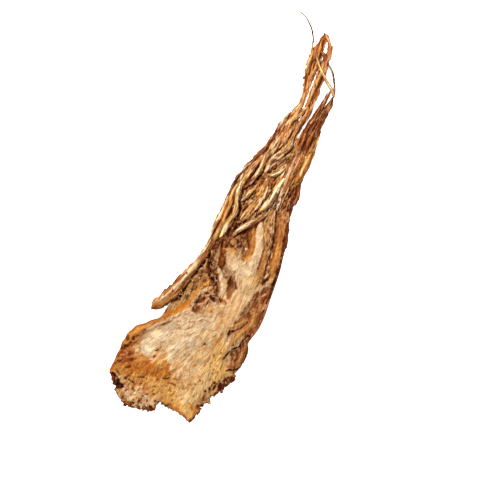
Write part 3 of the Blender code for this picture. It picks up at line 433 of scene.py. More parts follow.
    ("brown", 0.9, 0, 0.5, [(10.4, -50.2, 0.9), (8.8, -52.8, 1.8), (7, -55.6, 2.2), (5.2, -58.4, 1.8),
     (3.2, -59.6, 0.9)]),
    ("tan", 0.8, 0.2, 0.3, [(10.2, -49.8, 0.5), (8.6, -52.6, 0.6), (7.8, -55.4, 0.7), (6.4, -57.8, 0.7),
     (4.4, -59.2, 0.5)]),
    ("umber", 0.7, -0.3, 0.5, [(4.2, -54.4, 0.8), (5, -56.2, 0.9), (4.6, -57.8, 0.5)]),
    ("brown", 0.8, 0.1, 0.3, [(5.6, -53.8, 0.5), (6.2, -55.8, 0.5)]),
    ("straw", 0.7, 0.2, 0.2, [(8.4, -53.4, 0.25), (7.9, -55.6, 0.3), (6.6, -57.6, 0.3)]),
    ("bark", 0.7, -0.3, 0.4, [(11.4, -49, 0.6), (9, -50.6, 0.8), (6.6, -52.6, 0.8), (4.4, -53.2, 0.6)]),
    ("dark", 1, -1.1, 0.3, [(11.6, -48.5, 0.2), (10.7, -47.3, 0.34), (9.4, -48.6, 0.26), (7.8, -50.2, 0.24),
     (6.6, -51.8, 0.28), (5.2, -52.2, 0.22), (4, -52.6, 0.18)]),
    ("umber", 0.8, -0.4, 0.3, [(12.2, -49, 0.5), (11.2, -50.6, 0.4), (10.2, -53.4, 0.4), (9.4, -56.6, 0.4),
     (8.2, -59.2, 0.4)]),
    ("umber", 0.85, -0.5, 0.2, [(3.2, -53.6, 0.3), (2, -55, 0.4), (0.8, -56.4, 0.3)]),
    ("amber", 0.6, -0.2, 0.4, [(0.4, -46.6, 0.5), (-0.8, -49, 0.5), (-2.2, -51, 0.4)]),
]
# Where the side roots leave the waist: ridges of pale cut roots with dark cracks between them.
# Its black and dark lines are painted shade in those cracks, which their lift also sinks; the widest, beside
# the outer left root, is a painted shadow cast by it. Many of the thin white and pink lines along the ridges
# are painted highlights.
FORK_STROKES = [
    ("brown", 1, 0, 0.6, [(-1, -4, 3), (4, 4, 4), (10, 11, 6), (17, 18, 8), (25, 24, 9), (32, 32, 9)]),
    ("tan", 0.6, 0, 1.2, [(8, 3, 2), (13, 8, 3), (17, 12, 3), (22, 20, 2.6), (26, 28, 3)]),
    ("gold", 0.75, 0.3, 0.6, [(14.4, 12.6, 0.8), (15.8, 11, 1.6), (15, 9, 1.6), (13.4, 7.4, 1)]),
    ("tan", 0.8, 0.2, 0.5, [(12.4, 5.4, 1), (10, 2.6, 1.2), (8, 0.4, 1)]),
    ("amber", 0.6, 0.1, 0.5, [(16.4, 6, 1), (14, 4, 0.9), (12, 3, 0.7)]),
    ("umber", 0.8, -0.4, 0.3, [(8.8, 10.6, 1), (8.4, 8.8, 1.3), (8, 7.2, 0.9)]),
    ("straw", 0.9, 0.5, 0.1, [(-4.8, -8.2, 0.5), (-4, -5.4, 0.55), (-2.6, -2.2, 0.6), (-0.8, 1.2, 0.6),
     (0.8, 4.4, 0.5), (1.8, 6.8, 0.4)]),
    ("peach", 0.8, 0.1, 0.1, [(-4.2, -6.8, 0.35), (-1.6, -0.6, 0.4), (0.6, 3.6, 0.35)]),
    ("black", 0.95, -0.9, 0.1, [(-0.4, -0.9, 0.3), (-1.6, -3, 0.35), (-3.2, -6, 0.4), (-4, -7.6, 0.3)]),
    ("rust", 0.7, -0.4, 0.1, [(2.6, 6.4, 0.3), (1.4, 3.2, 0.35), (0, 0, 0.35)]),
    ("tan", 0.85, 0.4, 0.15, [(5.4, 13.2, 0.5), (4.4, 10.4, 0.6), (3.6, 7.6, 0.6), (2.8, 4.6, 0.6),
     (1.6, 1.6, 0.6), (0.6, -1.4, 0.6)]),
    ("yellow", 0.7, 0.1, 0.1, [(5.7, 13.6, 0.5), (5, 12, 0.5), (4, 9, 0.3), (3.4, 6.6, 0.3)]),
    ("umber", 0.85, -0.6, 0.1, [(4.9, 6.4, 0.3), (4.2, 4.4, 0.35), (3.2, 2.4, 0.4), (2.2, 0.4, 0.45),
     (1.4, -0.6, 0.4)]),
    ("black", 0.8, -0.4, 0.1, [(3, 1.6, 0.3), (1.8, -0.2, 0.4)]),
    ("olive", 0.9, 0.5, 0.2, [(6.3, 10.2, 0.6), (6, 7.4, 0.85), (5.9, 4.6, 0.9), (5.2, 2.2, 0.9),
     (3.6, -0.2, 1), (1.6, -2.6, 1.1), (-0.6, -5, 1), (-2.6, -7.6, 1)]),
    ("white", 0.95, 0.3, 0.1, [(7, 12.2, 0.35), (6.4, 10.9, 0.45), (5.9, 10.2, 0.3)]),
    ("straw", 0.6, 0.1, 0.1, [(6.2, 6.4, 0.3), (6, 3.4, 0.3), (4.4, 0.6, 0.3)]),
    ("gold", 0.6, 0.2, 0.2, [(0.6, -5, 0.6), (-0.4, -7, 0.7), (-1.6, -9, 0.8)]),
    ("peach", 0.85, 0.3, 0.1, [(1, -4.6, 0.4), (0.2, -6.2, 0.45), (-0.2, -7.6, 0.3)]),
    ("black", 0.95, -1, 0.1, [(7.4, 8.6, 0.35), (7, 5.4, 0.4), (7.1, 2.8, 0.45), (6.2, 0.6, 0.5),
     (4.6, -1, 0.45), (3.2, -2.6, 0.4), (2.4, -5, 0.4)]),
    ("pink", 0.7, 0.2, 0.2, [(3.8, -2.6, 0.35), (3.4, -3.8, 0.35)]),
    ("pink", 0.8, 0.2, 0.1, [(3.3, -6.4, 0.35)]),
    ("umber", 0.85, -0.5, 0.4, [(2.6, -5.6, 0.6), (1.6, -8, 0.7), (0.4, -9.8, 0.6)]),
    ("bark", 0.85, -0.2, 0.5, [(4.4, -5.6, 1), (4, -8, 1), (2.4, -10, 1.2)]),
    ("pink", 0.9, 0.3, 0.1, [(2.6, -9.3, 0.42)]),
    ("umber", 0.85, -0.5, 0.3, [(6.4, -6.6, 0.4), (5.4, -7.8, 0.4), (3.6, -10, 0.4)]),
    ("black", 0.95, -0.8, 0.1, [(12.6, 9.9, 0.3), (11.2, 8.4, 0.35), (9.6, 7, 0.35), (8, 6.4, 0.3)]),
    ("straw", 0.95, 0.5, 0.1, [(13.2, 12.6, 0.3), (12.2, 11.4, 0.5), (10.8, 10, 0.45), (9.8, 8.9, 0.3)]),
    ("peach", 0.8, 0.3, 0.1, [(10.4, 7.6, 0.35), (9.9, 6.4, 0.35), (9.2, 5.2, 0.3)]),
    ("dark", 0.9, -0.6, 0.15, [(9.4, 5.9, 0.3), (8.4, 5, 0.35), (7.4, 3.6, 0.3)]),
    ("dark", 0.85, -0.5, 0.15, [(10.9, 5, 0.2), (9.4, 3.8, 0.3), (8.4, 2.6, 0.25)]),
    ("straw", 0.85, 0.4, 0.1, [(13.2, 6.4, 0.35), (12.4, 5.4, 0.35)]),
    ("straw", 0.9, 0.3, 0.1, [(10.6, 1.4, 0.4)]),
    ("straw", 0.9, 0.3, 0.1, [(7.2, -1.8, 0.35), (6.4, -2, 0.3)]),
    ("peach", 0.7, 0.2, 0.2, [(18.6, 11, 0.3), (17.6, 9.4, 0.4)]),
    ("peach", 0.8, 0.3, 0.2, [(16.6, 7.8, 0.4), (15.2, 7, 0.4), (14.2, 6.2, 0.3)]),
    ("black", 0.95, -0.8, 0.1, [(19, 8.9, 0.4), (17.9, 7.6, 0.35), (16.8, 6.2, 0.35), (15.9, 5.2, 0.3)]),
    ("dark", 0.8, -0.5, 0.1, [(14.9, 4.4, 0.25), (14.2, 3.2, 0.3)]),
    ("white", 0.95, 0.5, 0.1, [(24.8, 15.2, 0.45), (23.4, 13.2, 0.6), (22, 11, 0.65), (20.8, 9, 0.7),
     (19.4, 6.8, 0.7), (18.2, 5.2, 0.7), (16.8, 3.9, 0.5)]),
    ("olive", 0.7, 0.1, 0.1, [(23.6, 11.6, 0.4), (22, 8.8, 0.4), (20.2, 6, 0.35)]),
    ("straw", 0.7, 0.1, 0.1, [(16.4, 3.4, 0.5), (15, 2.4, 0.6)]),
    ("black", 0.9, -0.8, 0.1, [(19.6, 4.6, 0.3), (18, 3, 0.4), (16.2, 1.9, 0.35), (14.8, 1.2, 0.35),
     (13.4, 0, 0.35)]),
    ("black", 0.85, -0.7, 0.1, [(22.8, 8.6, 0.25), (21.2, 7, 0.3), (19.8, 4.8, 0.3)]),
    ("pink", 0.95, 0.4, 0.1, [(18, 1.9, 0.35), (16.8, 1.2, 0.6), (15.4, 0.4, 0.55)]),
    ("peach", 0.8, 0.2, 0.1, [(17.2, 1.5, 0.35), (16.2, 0.8, 0.35)]),
    ("umber", 0.9, -0.6, 0.1, [(18.9, 1.7, 0.3), (17.6, 0.2, 0.35), (15.8, -0.8, 0.35), (14, -0.8, 0.4)]),
    ("rust", 0.8, -0.2, 0.2, [(16.6, -1, 0.5), (14.8, -1.4, 0.6), (13.4, -2, 0.5)]),
    ("olive", 0.9, 0.4, 0.1, [(12.9, -0.6, 0.5), (11.4, -1.8, 0.7), (9.6, -3, 0.75), (7.8, -4.2, 0.7),
     (6.4, -5.2, 0.5)]),
    ("white", 0.9, 0.2, 0.1, [(11.8, -1.9, 0.35), (10, -3, 0.35), (7.6, -4.4, 0.45), (6.4, -5.2, 0.4)]),
    ("black", 0.95, -0.9, 0.1, [(9.6, -1.2, 0.3), (7.8, -2.6, 0.4), (6.4, -3.6, 0.4), (4.6, -4.7, 0.35)]),
    ("black", 0.95, -0.9, 0.1, [(13.6, -1.6, 0.5), (12.2, -2.6, 0.4), (10.8, -3.8, 0.5), (9, -5.2, 0.35),
     (7.2, -6.2, 0.35), (6.4, -6.8, 0.3)]),
    ("bark", 0.8, 0.2, 0.2, [(13, 0.2, 0.6), (11, -0.4, 0.5), (9.4, -1, 0.4)]),
    ("gold", 0.8, 0.3, 0.15, [(14.9, 17.4, 0.9), (13, 15.8, 0.8), (11.2, 15, 0.9), (9.2, 13.6, 0.8),
     (8, 14.4, 0.6)]),
    ("olive", 0.8, 0.3, 0.15, [(12.6, 15, 0.5), (11.2, 13.4, 0.6), (9.8, 12.2, 0.5)]),
    ("black", 0.95, -0.8, 0.1, [(15.4, 17, 0.35), (13.8, 15.6, 0.4), (12.2, 13.6, 0.4), (10.8, 12.2, 0.4),
     (9.4, 11.4, 0.35), (8.4, 11.2, 0.35)]),
    ("dark", 0.9, -0.6, 0.1, [(12.2, 17.2, 0.2), (11.6, 15.4, 0.3), (10.2, 14.2, 0.3), (9.2, 13.2, 0.3)]),
    ("white", 0.95, 0.4, 0.1, [(15.8, 20.6, 0.5), (15, 19, 0.5), (14, 17.4, 0.5), (13.4, 16.4, 0.4)]),
    ("straw", 0.95, 0.4, 0.15, [(18.8, 26.6, 0.5), (17.4, 24.6, 0.7), (16.4, 22.6, 0.7), (15.6, 20.4, 0.6)]),
    ("brown", 0.8, 0.1, 0.2, [(14.6, 21.4, 0.7), (13.2, 19.6, 0.8), (11.6, 17.6, 0.8), (9.8, 15.6, 0.7)]),
    ("pink", 0.8, 0.4, 0.1, [(14.6, 22.2, 0.4), (13.4, 20.6, 0.45), (12.4, 18.8, 0.4), (11.2, 17, 0.35)]),
    ("black", 0.95, -0.9, 0.1, [(15.4, 22.4, 0.25), (14.9, 20.4, 0.35), (13.6, 18.6, 0.35),
     (12.4, 17, 0.35)]),
    ("white", 0.95, 0.3, 0.1, [(9, 18.2, 0.35), (8.2, 16.8, 0.4), (7.2, 15.2, 0.35)]),
    ("black", 0.9, -0.7, 0.1, [(9.6, 18.4, 0.25), (8.6, 16.2, 0.3), (7.4, 14.4, 0.25), (6.2, 14.2, 0.35)]),
    ("gold", 0.7, 0.2, 0.15, [(11.4, 19, 0.5), (9.8, 16.8, 0.6), (8, 14.4, 0.6)]),
    ("black", 1, -1.3, 0.15, [(-0.4, 5.6, 0.35), (2.1, 8.8, 0.6), (3.2, 11.2, 0.95), (4.4, 13.3, 1.05),
     (6, 14.9, 0.9), (7.6, 16.8, 0.6), (9.8, 19.4, 0.45), (12.2, 21.6, 0.5), (14.2, 23.8, 0.4),
     (16.5, 25.5, 0.5), (18.1, 27, 0.35)]),
    ("black", 1, -1, 0.15, [(18.6, 28.4, 0.3), (19.8, 30.4, 0.45), (20.8, 32.6, 0.35), (21.8, 35, 0.4),
     (22.8, 37.6, 0.35)]),
    ("umber", 0.7, 0, 0.2, [(1.4, 8, 0.8), (2.4, 10.6, 0.9), (3.4, 12.4, 0.8)]),
    ("tan", 0.8, 0.2, 0.2, [(20.4, 29.6, 0.7), (19.6, 27.6, 0.7), (18.6, 25.6, 0.6)]),
    ("straw", 0.9, 0.4, 0.1, [(22.2, 31.8, 0.4), (21.4, 29.4, 0.5), (20.6, 27.4, 0.5), (19.4, 25.6, 0.5),
     (18.2, 24, 0.4)]),
    ("black", 0.9, -0.8, 0.1, [(23, 27.4, 0.3), (22.2, 26.2, 0.45), (21.2, 25.6, 0.4), (20, 24.6, 0.35),
     (19, 23.8, 0.3)]),
    ("brown", 0.9, -0.2, 0.3, [(23.4, 29.8, 0.7), (22.4, 28.2, 0.9), (21.6, 27, 0.6)]),
    ("dark", 0.8, -0.5, 0.1, [(23.1, 30.2, 0.25), (22.2, 28.6, 0.35), (21.4, 27.4, 0.3)]),
    ("black", 0.95, -0.8, 0.1, [(27.4, 32.6, 0.3), (26.6, 31.2, 0.4), (25.4, 29.8, 0.4), (24.2, 28.4, 0.4),
     (23.6, 27.6, 0.35)]),
    ("straw", 0.95, 0.45, 0.1, [(27.6, 29.6, 0.5), (26.4, 27.6, 0.6), (24.8, 26.2, 0.6), (22.6, 24.8, 0.5),
     (20.6, 23.8, 0.5), (19, 22.8, 0.5)]),
    ("gold", 0.7, 0.2, 0.15, [(28.2, 30.6, 0.6), (27.2, 29, 0.6)]),
    ("grey", 0.6, 0.2, 0.2, [(24.6, 25, 0.5), (22.6, 23.4, 0.5), (21, 21.8, 0.5)]),
    ("olive", 0.7, 0.2, 0.2, [(20.6, 22.2, 0.8), (19, 20.8, 0.8), (18, 20, 0.6)]),
    ("rust", 0.6, 0, 0.2, [(19.2, 22.8, 0.5), (18.2, 21.4, 0.5), (17.4, 20.2, 0.5), (16.6, 18.6, 0.5)]),
    ("black", 0.95, -0.9, 0.1, [(28, 28.4, 0.35), (27.4, 27, 0.5), (26.2, 25.8, 0.4), (25.2, 25, 0.5),
     (25.2, 23.8, 0.4), (24.4, 22.8, 0.35), (23, 22.2, 0.3)]),
    ("bark", 0.8, -0.2, 0.2, [(24.2, 24.2, 0.6), (22.6, 22.8, 0.6), (21.4, 22, 0.4)]),
    ("dark", 0.9, -0.6, 0.1, [(22.4, 21.4, 0.3), (21.6, 20.2, 0.4), (21, 19.2, 0.4)]),
    ("pink", 0.6, 0.3, 0.2, [(25, 22.4, 0.5), (23.6, 21, 0.6), (22.2, 19.6, 0.5)]),
    ("black", 0.9, -0.6, 0.1, [(19.9, 18.8, 0.3), (19.2, 18.2, 0.4), (18.2, 17.8, 0.3)]),
    ("peach", 0.9, 0.4, 0.1, [(24.2, 19.8, 0.3), (23, 18.4, 0.4), (21.8, 17.4, 0.4), (20.2, 17, 0.35),
     (18.8, 17.1, 0.3)]),
    ("black", 0.95, -0.8, 0.1, [(23, 17.2, 0.4), (22, 17.2, 0.35), (20.8, 16.4, 0.35), (19.4, 16, 0.3),
     (17.6, 16.8, 0.25)]),
    ("dark", 0.8, -0.5, 0.1, [(22.4, 16.6, 0.3), (21.4, 15.6, 0.35), (20.8, 14.8, 0.3)]),
    ("peach", 0.8, 0.3, 0.1, [(24.4, 17.6, 0.3), (23, 16.4, 0.4), (21.8, 15.2, 0.35)]),
    ("pink", 0.9, 0.3, 0.1, [(18.4, 14.8, 0.5), (18, 13.6, 0.5)]),
    ("dark", 0.7, -0.4, 0.2, [(17.4, 15.4, 0.3), (16.6, 15.2, 0.3)]),
    ("dark", 0.85, -0.5, 0.1, [(22.4, 14, 0.25), (21.2, 12.6, 0.3), (20.4, 11, 0.35), (19.6, 9.6, 0.3)]),
    ("rust", 0.5, 0, 0.3, [(20.4, 14.2, 0.8), (19.4, 12.4, 0.8), (18.6, 10.4, 0.5)]),
    ("bark", 0.6, 0, 0.4, [(25.8, 13.4, 0.9), (24.4, 11.2, 0.9), (23.4, 9, 0.6)]),
    ("dark", 0.8, -0.5, 0.1, [(25.2, 10.2, 0.25), (24.4, 8.8, 0.35), (23.2, 7.6, 0.35), (22.8, 6.2, 0.3)]),
    ("pink", 0.8, 0.3, 0.15, [(23.4, 11.6, 0.3), (22.8, 10.2, 0.4), (22.4, 9, 0.3)]),
    ("peach", 0.85, 0.3, 0.1, [(22.8, 6.2, 0.4), (23.4, 4.8, 0.5), (23.8, 4.2, 0.3)]),
    ("grey", 0.5, 0.2, 0.3, [(25.6, 9.4, 0.6), (24.6, 7.4, 0.7)]),
    ("tan", 0.6, 0.2, 0.4, [(26.8, 12.4, 0.8), (26, 8.8, 0.8), (25.4, 5.4, 0.8), (25, 1.6, 0.8)]),
    ("dark", 0.7, -0.4, 0.15, [(27.6, 9.8, 0.2), (26.8, 7, 0.3), (26.4, 5.4, 0.25)]),
    ("umber", 0.8, -0.2, 0.3, [(29.6, 10.4, 0.6), (28.8, 7.6, 0.8), (27.2, 4, 0.7)]),
    ("dark", 0.9, -0.4, 0.1, [(28.4, 4.6, 0.5), (27.2, 3.2, 0.5)]),
    ("pink", 0.9, 0.3, 0.1, [(29.6, 7.2, 0.3), (28.9, 5.9, 0.35)]),
    ("pink", 0.9, 0.3, 0.1, [(24.3, -0.2, 0.55), (23.8, -0.7, 0.4)]),
    ("gold", 0.7, 0.2, 0.3, [(22.6, -1.6, 0.9), (22.4, -3, 0.6)]),
    ("gold", 0.85, 0.3, 0.3, [(31.2, 16.2, 0.7), (29.4, 13.8, 1), (28.2, 12, 0.8)]),
    ("amber", 0.7, 0.1, 0.4, [(30, 17.4, 1), (28.4, 15.6, 0.9)]),
    ("rust", 0.7, -0.2, 0.2, [(28, 17.1, 0.5)]),
    ("peach", 0.6, 0.35, 0.2, [(35.8, 27.4, 0.4), (34.4, 25, 0.6), (33.4, 22.2, 0.7), (32.4, 19.4, 0.7),
     (31.4, 17.2, 0.5)]),
    ("gold", 0.6, 0.2, 0.3, [(36.8, 30, 0.5), (35.4, 27, 0.8), (34.4, 23, 0.9), (33.2, 19, 0.9)]),
    ("umber", 0.9, -0.2, 0.2, [(37.4, 29.4, 0.35), (36.2, 26, 0.35), (35, 22.4, 0.4), (33.8, 18.8, 0.5),
     (32.2, 15.4, 0.6), (31, 12.2, 0.6)]),
    ("brown", 0.6, 0, 0.3, [(32.4, 24.8, 0.8), (31.2, 22.2, 0.9), (29.6, 19.6, 0.9), (27.6, 17.4, 0.6)]),
    ("umber", 0.6, -0.4, 0.2, [(33.2, 30.2, 0.2), (31.6, 27.4, 0.3), (30.4, 24.6, 0.3), (29.4, 22.4, 0.25)]),
    ("tan", 0.6, 0.2, 0.3, [(30.6, 28.4, 0.5), (29, 25.2, 0.6), (27.6, 22.6, 0.6)]),
    ("bark", 0.6, -0.2, 0.4, [(32.8, 29, 0.6), (31.4, 25.8, 0.7), (29.6, 23, 0.6)]),
]

# The torn fibres of the crown fan out from this place in the waist.
FAN_CENTRE = (8.0, -34.0)
MARK_PATCHES = [
    (150, ("gold", "tan", "straw"), 0.5, -0.08, 0.8, 3.0, 0.20, -16, -55, 20, 11, None),
    (70, ("white", "pale"), 0.6, 0.08, 0.8, 3.5, 0.30, -18, -53, 16, 9, None),
    (50, ("tan", "olive", "gold"), 0.7, -0.12, 1.0, 4.0, 0.22, -14, -50, 20, 10, None),
    (110, ("amber", "rust", "brown"), 0.7, -0.1, 0.5, 2.0, 0.25, -22, -66, 17, 7, None),
    (60, ("umber", "rust"), 0.75, -0.2, 0.3, 0.9, 0.24, -30, -70, 13, 6, None),
    (70, ("rust", "brown", "russet"), 0.6, -0.1, 0.4, 1.8, 0.22, -38, -56, 6, 8, None),
    (45, ("straw", "gold"), 0.5, 0.1, 0.4, 1.6, 0.24, -37, -58, 6, 9, None),
    (80, ("rust", "brown", "amber"), 0.6, -0.1, 0.4, 1.8, 0.22, -27, -60.5, 9, 3.5, None),
    (80, ("rust", "russet", "umber"), 0.75, -0.2, 0.3, 1.2, 0.26, -36, -71, 6, 5, None),
    (40, ("white", "peach"), 0.8, 0.25, 0.3, 1.0, 0.32, -36, -72, 7, 5, None),
    (45, ("rust", "brown"), 0.55, -0.1, 0.3, 1.2, 0.22, -9, -69, 9, 6, None),
    (25, ("white", "yellow"), 0.6, 0.1, 0.4, 1.6, 0.3, -11, -72, 8, 6, None),
    (40, ("umber", "rust", "amber"), 0.7, -0.15, 0.3, 1.2, 0.24, -1, -60, 5, 7, None),
    (30, ("umber", "black", "rust"), 0.8, -0.3, 0.3, 1.0, 0.28, -1, -67.5, 3.6, 2.4, None),
    (70, ("tan", "grey", "gold"), 0.5, -0.1, 0.6, 2.2, 0.24, -4, -42, 14, 7, None),
    (60, ("white", "pale"), 0.6, 0.1, 0.6, 2.4, 0.28, 3, -32, 8, 12, None),
    (60, ("tan", "gold", "grey"), 0.5, -0.1, 0.5, 2.0, 0.22, 7, -26, 7, 9, None),
    (50, ("umber", "dark", "rust"), 0.8, -0.3, 0.4, 1.4, 0.28, -4, -19, 4, 8, None),
    (40, ("straw", "peach", "tan"), 0.8, 0.3, 0.4, 1.4, 0.28, -4, -18, 4, 8, None),
    (34, ("umber", "brown", "dark"), 0.7, -0.2, 0.4, 1.6, 0.24, -12, -29, 7, 7, None),
    (60, ("rust", "brown", "amber", "straw"), 0.6, -0.1, 0.5, 1.8, 0.22, -24, -39.8, 12, 2.8, 28),
    (40, ("straw", "white", "tan"), 0.6, 0.2, 0.4, 1.4, 0.26, -12, -29, 7, 7, None),
    (40, ("umber", "brown"), 0.6, -0.2, 0.5, 2.2, 0.24, 20, -22, 6, 20, None),
    (50, ("tan", "straw", "pink"), 0.6, 0.2, 0.5, 2.0, 0.24, 19, -22, 6, 20, None),
    (30, ("umber", "brown"), 0.5, -0.15, 0.4, 1.6, 0.24, 8, -53, 4, 7, None),
    (30, ("tan", "straw"), 0.5, 0.15, 0.4, 1.6, 0.24, 8, -53, 4, 7, None),
]
FORK_PATCHES = [
    (90, ("white", "peach", "straw"), 0.8, 0.25, 0.5, 2.2, 0.24, 14, 11, 8, 12, 56),
    (100, ("dark", "umber", "black"), 0.8, -0.4, 0.5, 2.6, 0.22, 14, 11, 8, 12, 56),
    (60, ("gold", "amber", "rust"), 0.6, 0.1, 0.5, 1.8, 0.28, 15, 11, 7, 10, 56),
    (90, ("white", "straw", "pink", "peach"), 0.85, 0.25, 0.5, 2.8, 0.22, 23, 25, 7, 8, 58),
    (45, ("dark", "umber"), 0.8, -0.4, 0.5, 2.6, 0.20, 23, 25, 7, 8, 58),
    (50, ("tan", "straw", "pink"), 0.6, 0.15, 0.8, 3.0, 0.26, 29, 18, 5, 12, 66),
    (60, ("umber", "dark", "bark"), 0.7, -0.25, 0.8, 3.0, 0.24, 29, 18, 5, 12, 66),
    (70, ("straw", "white", "gold"), 0.8, 0.2, 0.8, 3.2, 0.22, 28, 38, 6, 8, 57),
    (80, ("russet", "umber"), 0.8, -0.3, 0.8, 3.2, 0.20, 28, 38, 6, 8, 57),
    (90, ("straw", "peach", "gold"), 0.7, 0.2, 0.8, 3.0, 0.20, 37, 57, 5, 14, 70),
    (90, ("russet", "bark", "rust"), 0.75, -0.3, 0.8, 3.0, 0.20, 37, 57, 5, 14, 70),
    (40, ("gold", "peach", "tan"), 0.7, 0.2, 0.8, 2.6, 0.20, 38, 40, 5, 9, 55),
    (60, ("dark", "umber"), 0.8, -0.3, 0.8, 2.6, 0.20, 38, 40, 5, 9, 55),
    (50, ("white", "peach"), 0.7, 0.2, 0.5, 2.0, 0.22, -15, -23, 12, 14, 49),
    (70, ("pale", "peach", "straw"), 0.9, 0.15, 0.8, 2.6, 0.24, 18.8, -6, 1.8, 12, 84),
    (40, ("brown", "bark", "rust"), 0.8, -0.15, 0.8, 2.6, 0.20, 18.8, -6, 2.0, 12, 84),
    (70, ("pink", "peach", "straw"), 0.75, 0.2, 0.6, 2.2, 0.24, 25, 5, 3, 8, 70),
    (60, ("umber", "dark"), 0.75, -0.3, 0.6, 2.4, 0.20, 25, 5, 3, 8, 70),
    (50, ("white", "peach", "straw"), 0.8, 0.25, 0.6, 2.4, 0.24, 20, 8, 4, 5, 58),
    (40, ("umber", "rust"), 0.7, -0.2, 0.5, 2.0, 0.22, -15, -23, 12, 14, 49),
]
BROAD_MOTTLE, FINE_MOTTLE = 0.14, 0.12
DARKEST, LIGHTEST = 0.002, 0.95


def underside(x, y):
    """Height of the slice's underside over the table: nil in the middle, rising in smooth curves to the
    crown, to its left corner, to the tail and to the right edge."""
    to_crown = np.clip((-56.0 - y) / 26.0, 0.0, 1.2)
    to_tail = np.clip((y + 16.0) / 90.0, 0.0, 1.2)
    to_corner = np.clip((-20.0 - x) / 25.0, 0.0, 1.2)
    to_right = np.clip((x - 13.0) / 30.0, 0.0, 1.2)
    return 1.6 * to_crown**2 + 4.2 * to_tail**1.5 + 1.8 * to_corner**2 + 1.0 * to_right**2


def dress(x, y, tint, rise, strokes_on_top):
    """Colour and relief of the root's upper face at (x, y): the strokes, then mottling by noise."""
    for strokes in strokes_on_top:
        paint(x, y, tint, rise, strokes)
    tint *= (1 + BROAD_MOTTLE * lumps(x, y, 3.6, 21) + FINE_MOTTLE * lumps(x, y, 1.3, 22, 2))[:, None]
    np.clip(tint, DARKEST, LIGHTEST, out=tint)


def add_mesh(name, points, faces, tint, grain):
    """An object at the origin holding those faces, with its colour and its grain on the points. Grain is the
    distance along the fibres and across them, in mm."""
    mesh = bpy.data.meshes.new(name)
    mesh.from_pydata((points * MM).tolist(), [], faces)
    colour = mesh.color_attributes.new("tint", "FLOAT_COLOR", "POINT")
    rgba = np.column_stack([tint, np.ones(len(tint))])
    colour.data.foreach_set("color", rgba.astype(np.float32).ravel())
    fibre = mesh.attributes.new("grain", "FLOAT_VECTOR", "POINT")
    grain_and_nil = np.column_stack([grain, np.zeros(len(grain))])
    fibre.data.foreach_set("vector", grain_and_nil.astype(np.float32).ravel())
    mesh.shade_smooth()
    piece = bpy.data.objects.new(name, mesh)
    bpy.context.scene.collection.objects.link(piece)
    return piece


def scattered_marks(patches, seed):
    """Torn fibres and specks at random places in each patch. A patch is (count, colours, strength, lift,
    shortest and longest in mm, half width in mm, middle x, y, reach x, y, heading in degrees). With no
    heading given, they run out from the fan's centre."""
    rng = np.random.default_rng(seed)
    marks = []
    for count, colours, strength, lift, short, long, half, mx, my, rx, ry, heading in patches:
        for _ in range(count):
            away, turn = np.sqrt(rng.uniform()), rng.uniform(0, 2 * np.pi)
            x, y = mx + rx * away * np.cos(turn), my + ry * away * np.sin(turn)
            lie = np.arctan2(y - FAN_CENTRE[1], x - FAN_CENTRE[0]) if heading is None else np.radians(heading)
            lie += rng.normal(0, 0.3)
            size, wide = rng.uniform(short, long) / 2, half * rng.uniform(0.7, 1.5)
            dx, dy = size * np.cos(lie), size * np.sin(lie)
            colour = colours[rng.integers(len(colours))]
            marks.append((colour, strength * rng.uniform(0.5, 1.0), lift, 0.3,
                          [(x - dx, y - dy, wide * 0.7), (x + dx, y + dy, wide)]))
    return marks


def slab_grid():
    """The slab's plan: a Coons patch between the four edges. The crown's edge is evened out for it, and its
    raggedness added back beside the rim alone, so that hardly any lines of the grid cross. Returns x, y, the
    share along, the share across, the distance from the rim, the width and the length."""
    u = np.linspace(0, 1, SLAB_ROWS)[:, None, None]
    v = np.linspace(0, 1, SLAB_COLUMNS)[None, :, None]
    left, right = along(LEFT_EDGE, SLAB_ROWS)[:, None], along(RIGHT_EDGE, SLAB_ROWS)[:, None]
    crown, tail = along(CROWN_EDGE, SLAB_COLUMNS)[None], along(TAIL_EDGE, SLAB_COLUMNS)[None]
    even = crown.copy()
    for _ in range(EVENING_ROUNDS):
        even[:, 1:-1] = (even[:, :-2] + 2 * even[:, 1:-1] + even[:, 2:]) / 4
    corners = ((1 - u) * ((1 - v) * crown[:, :1] + v * crown[:, -1:])
               + u * ((1 - v) * tail[:, :1] + v * tail[:, -1:]))
    flat = (1 - v) * left + v * right + (1 - u) * even + u * tail - corners
    across = np.hypot(*(right - left).transpose(2, 0, 1))
    run = np.hypot(*np.diff(flat, axis=0).transpose(2, 0, 1)).sum(0)[None]
    flat = flat + np.exp(-((u * run[..., None] / RAGGED_DEPTH) ** 2)) * (crown - even)
    u, v = u[..., 0], v[..., 0]
    to_rim = np.minimum(np.minimum(v, 1 - v) * across, np.minimum(u, 1 - u) * run)
    return flat[..., 0], flat[..., 1], u + 0 * v, v + 0 * u, to_rim, across + 0 * v, run + 0 * u


def slab_faces(rows, columns):
    """Faces of the top grid, of the coarser grid under it and of the rim that joins them, all pointing out.
    The underside has a point below every third point of the top, so each rim face has four points above and
    two below."""
    above = np.arange(rows * columns).reshape(rows, columns)
    low_rows, low_columns = (rows - 1) // COARSER + 1, (columns - 1) // COARSER + 1
    below = rows * columns + np.arange(low_rows * low_columns).reshape(low_rows, low_columns)

    def quads(a, b, c, d):
        return np.stack([a.ravel(), b.ravel(), c.ravel(), d.ravel()], 1).tolist()

    def rim(high, low):
        return [high[COARSER * i:COARSER * i + COARSER + 1].tolist() + [int(low[i + 1]), int(low[i])]
                for i in range(len(low) - 1)]

    return (quads(above[:-1, :-1], above[:-1, 1:], above[1:, 1:], above[1:, :-1])
            + quads(below[:-1, :-1], below[1:, :-1], below[1:, 1:], below[:-1, 1:])
            + rim(above[0, ::-1], below[0, ::-1]) + rim(above[-1], below[-1])
            + rim(above[:, 0], below[:, 0]) + rim(above[::-1, -1], below[::-1, -1]))


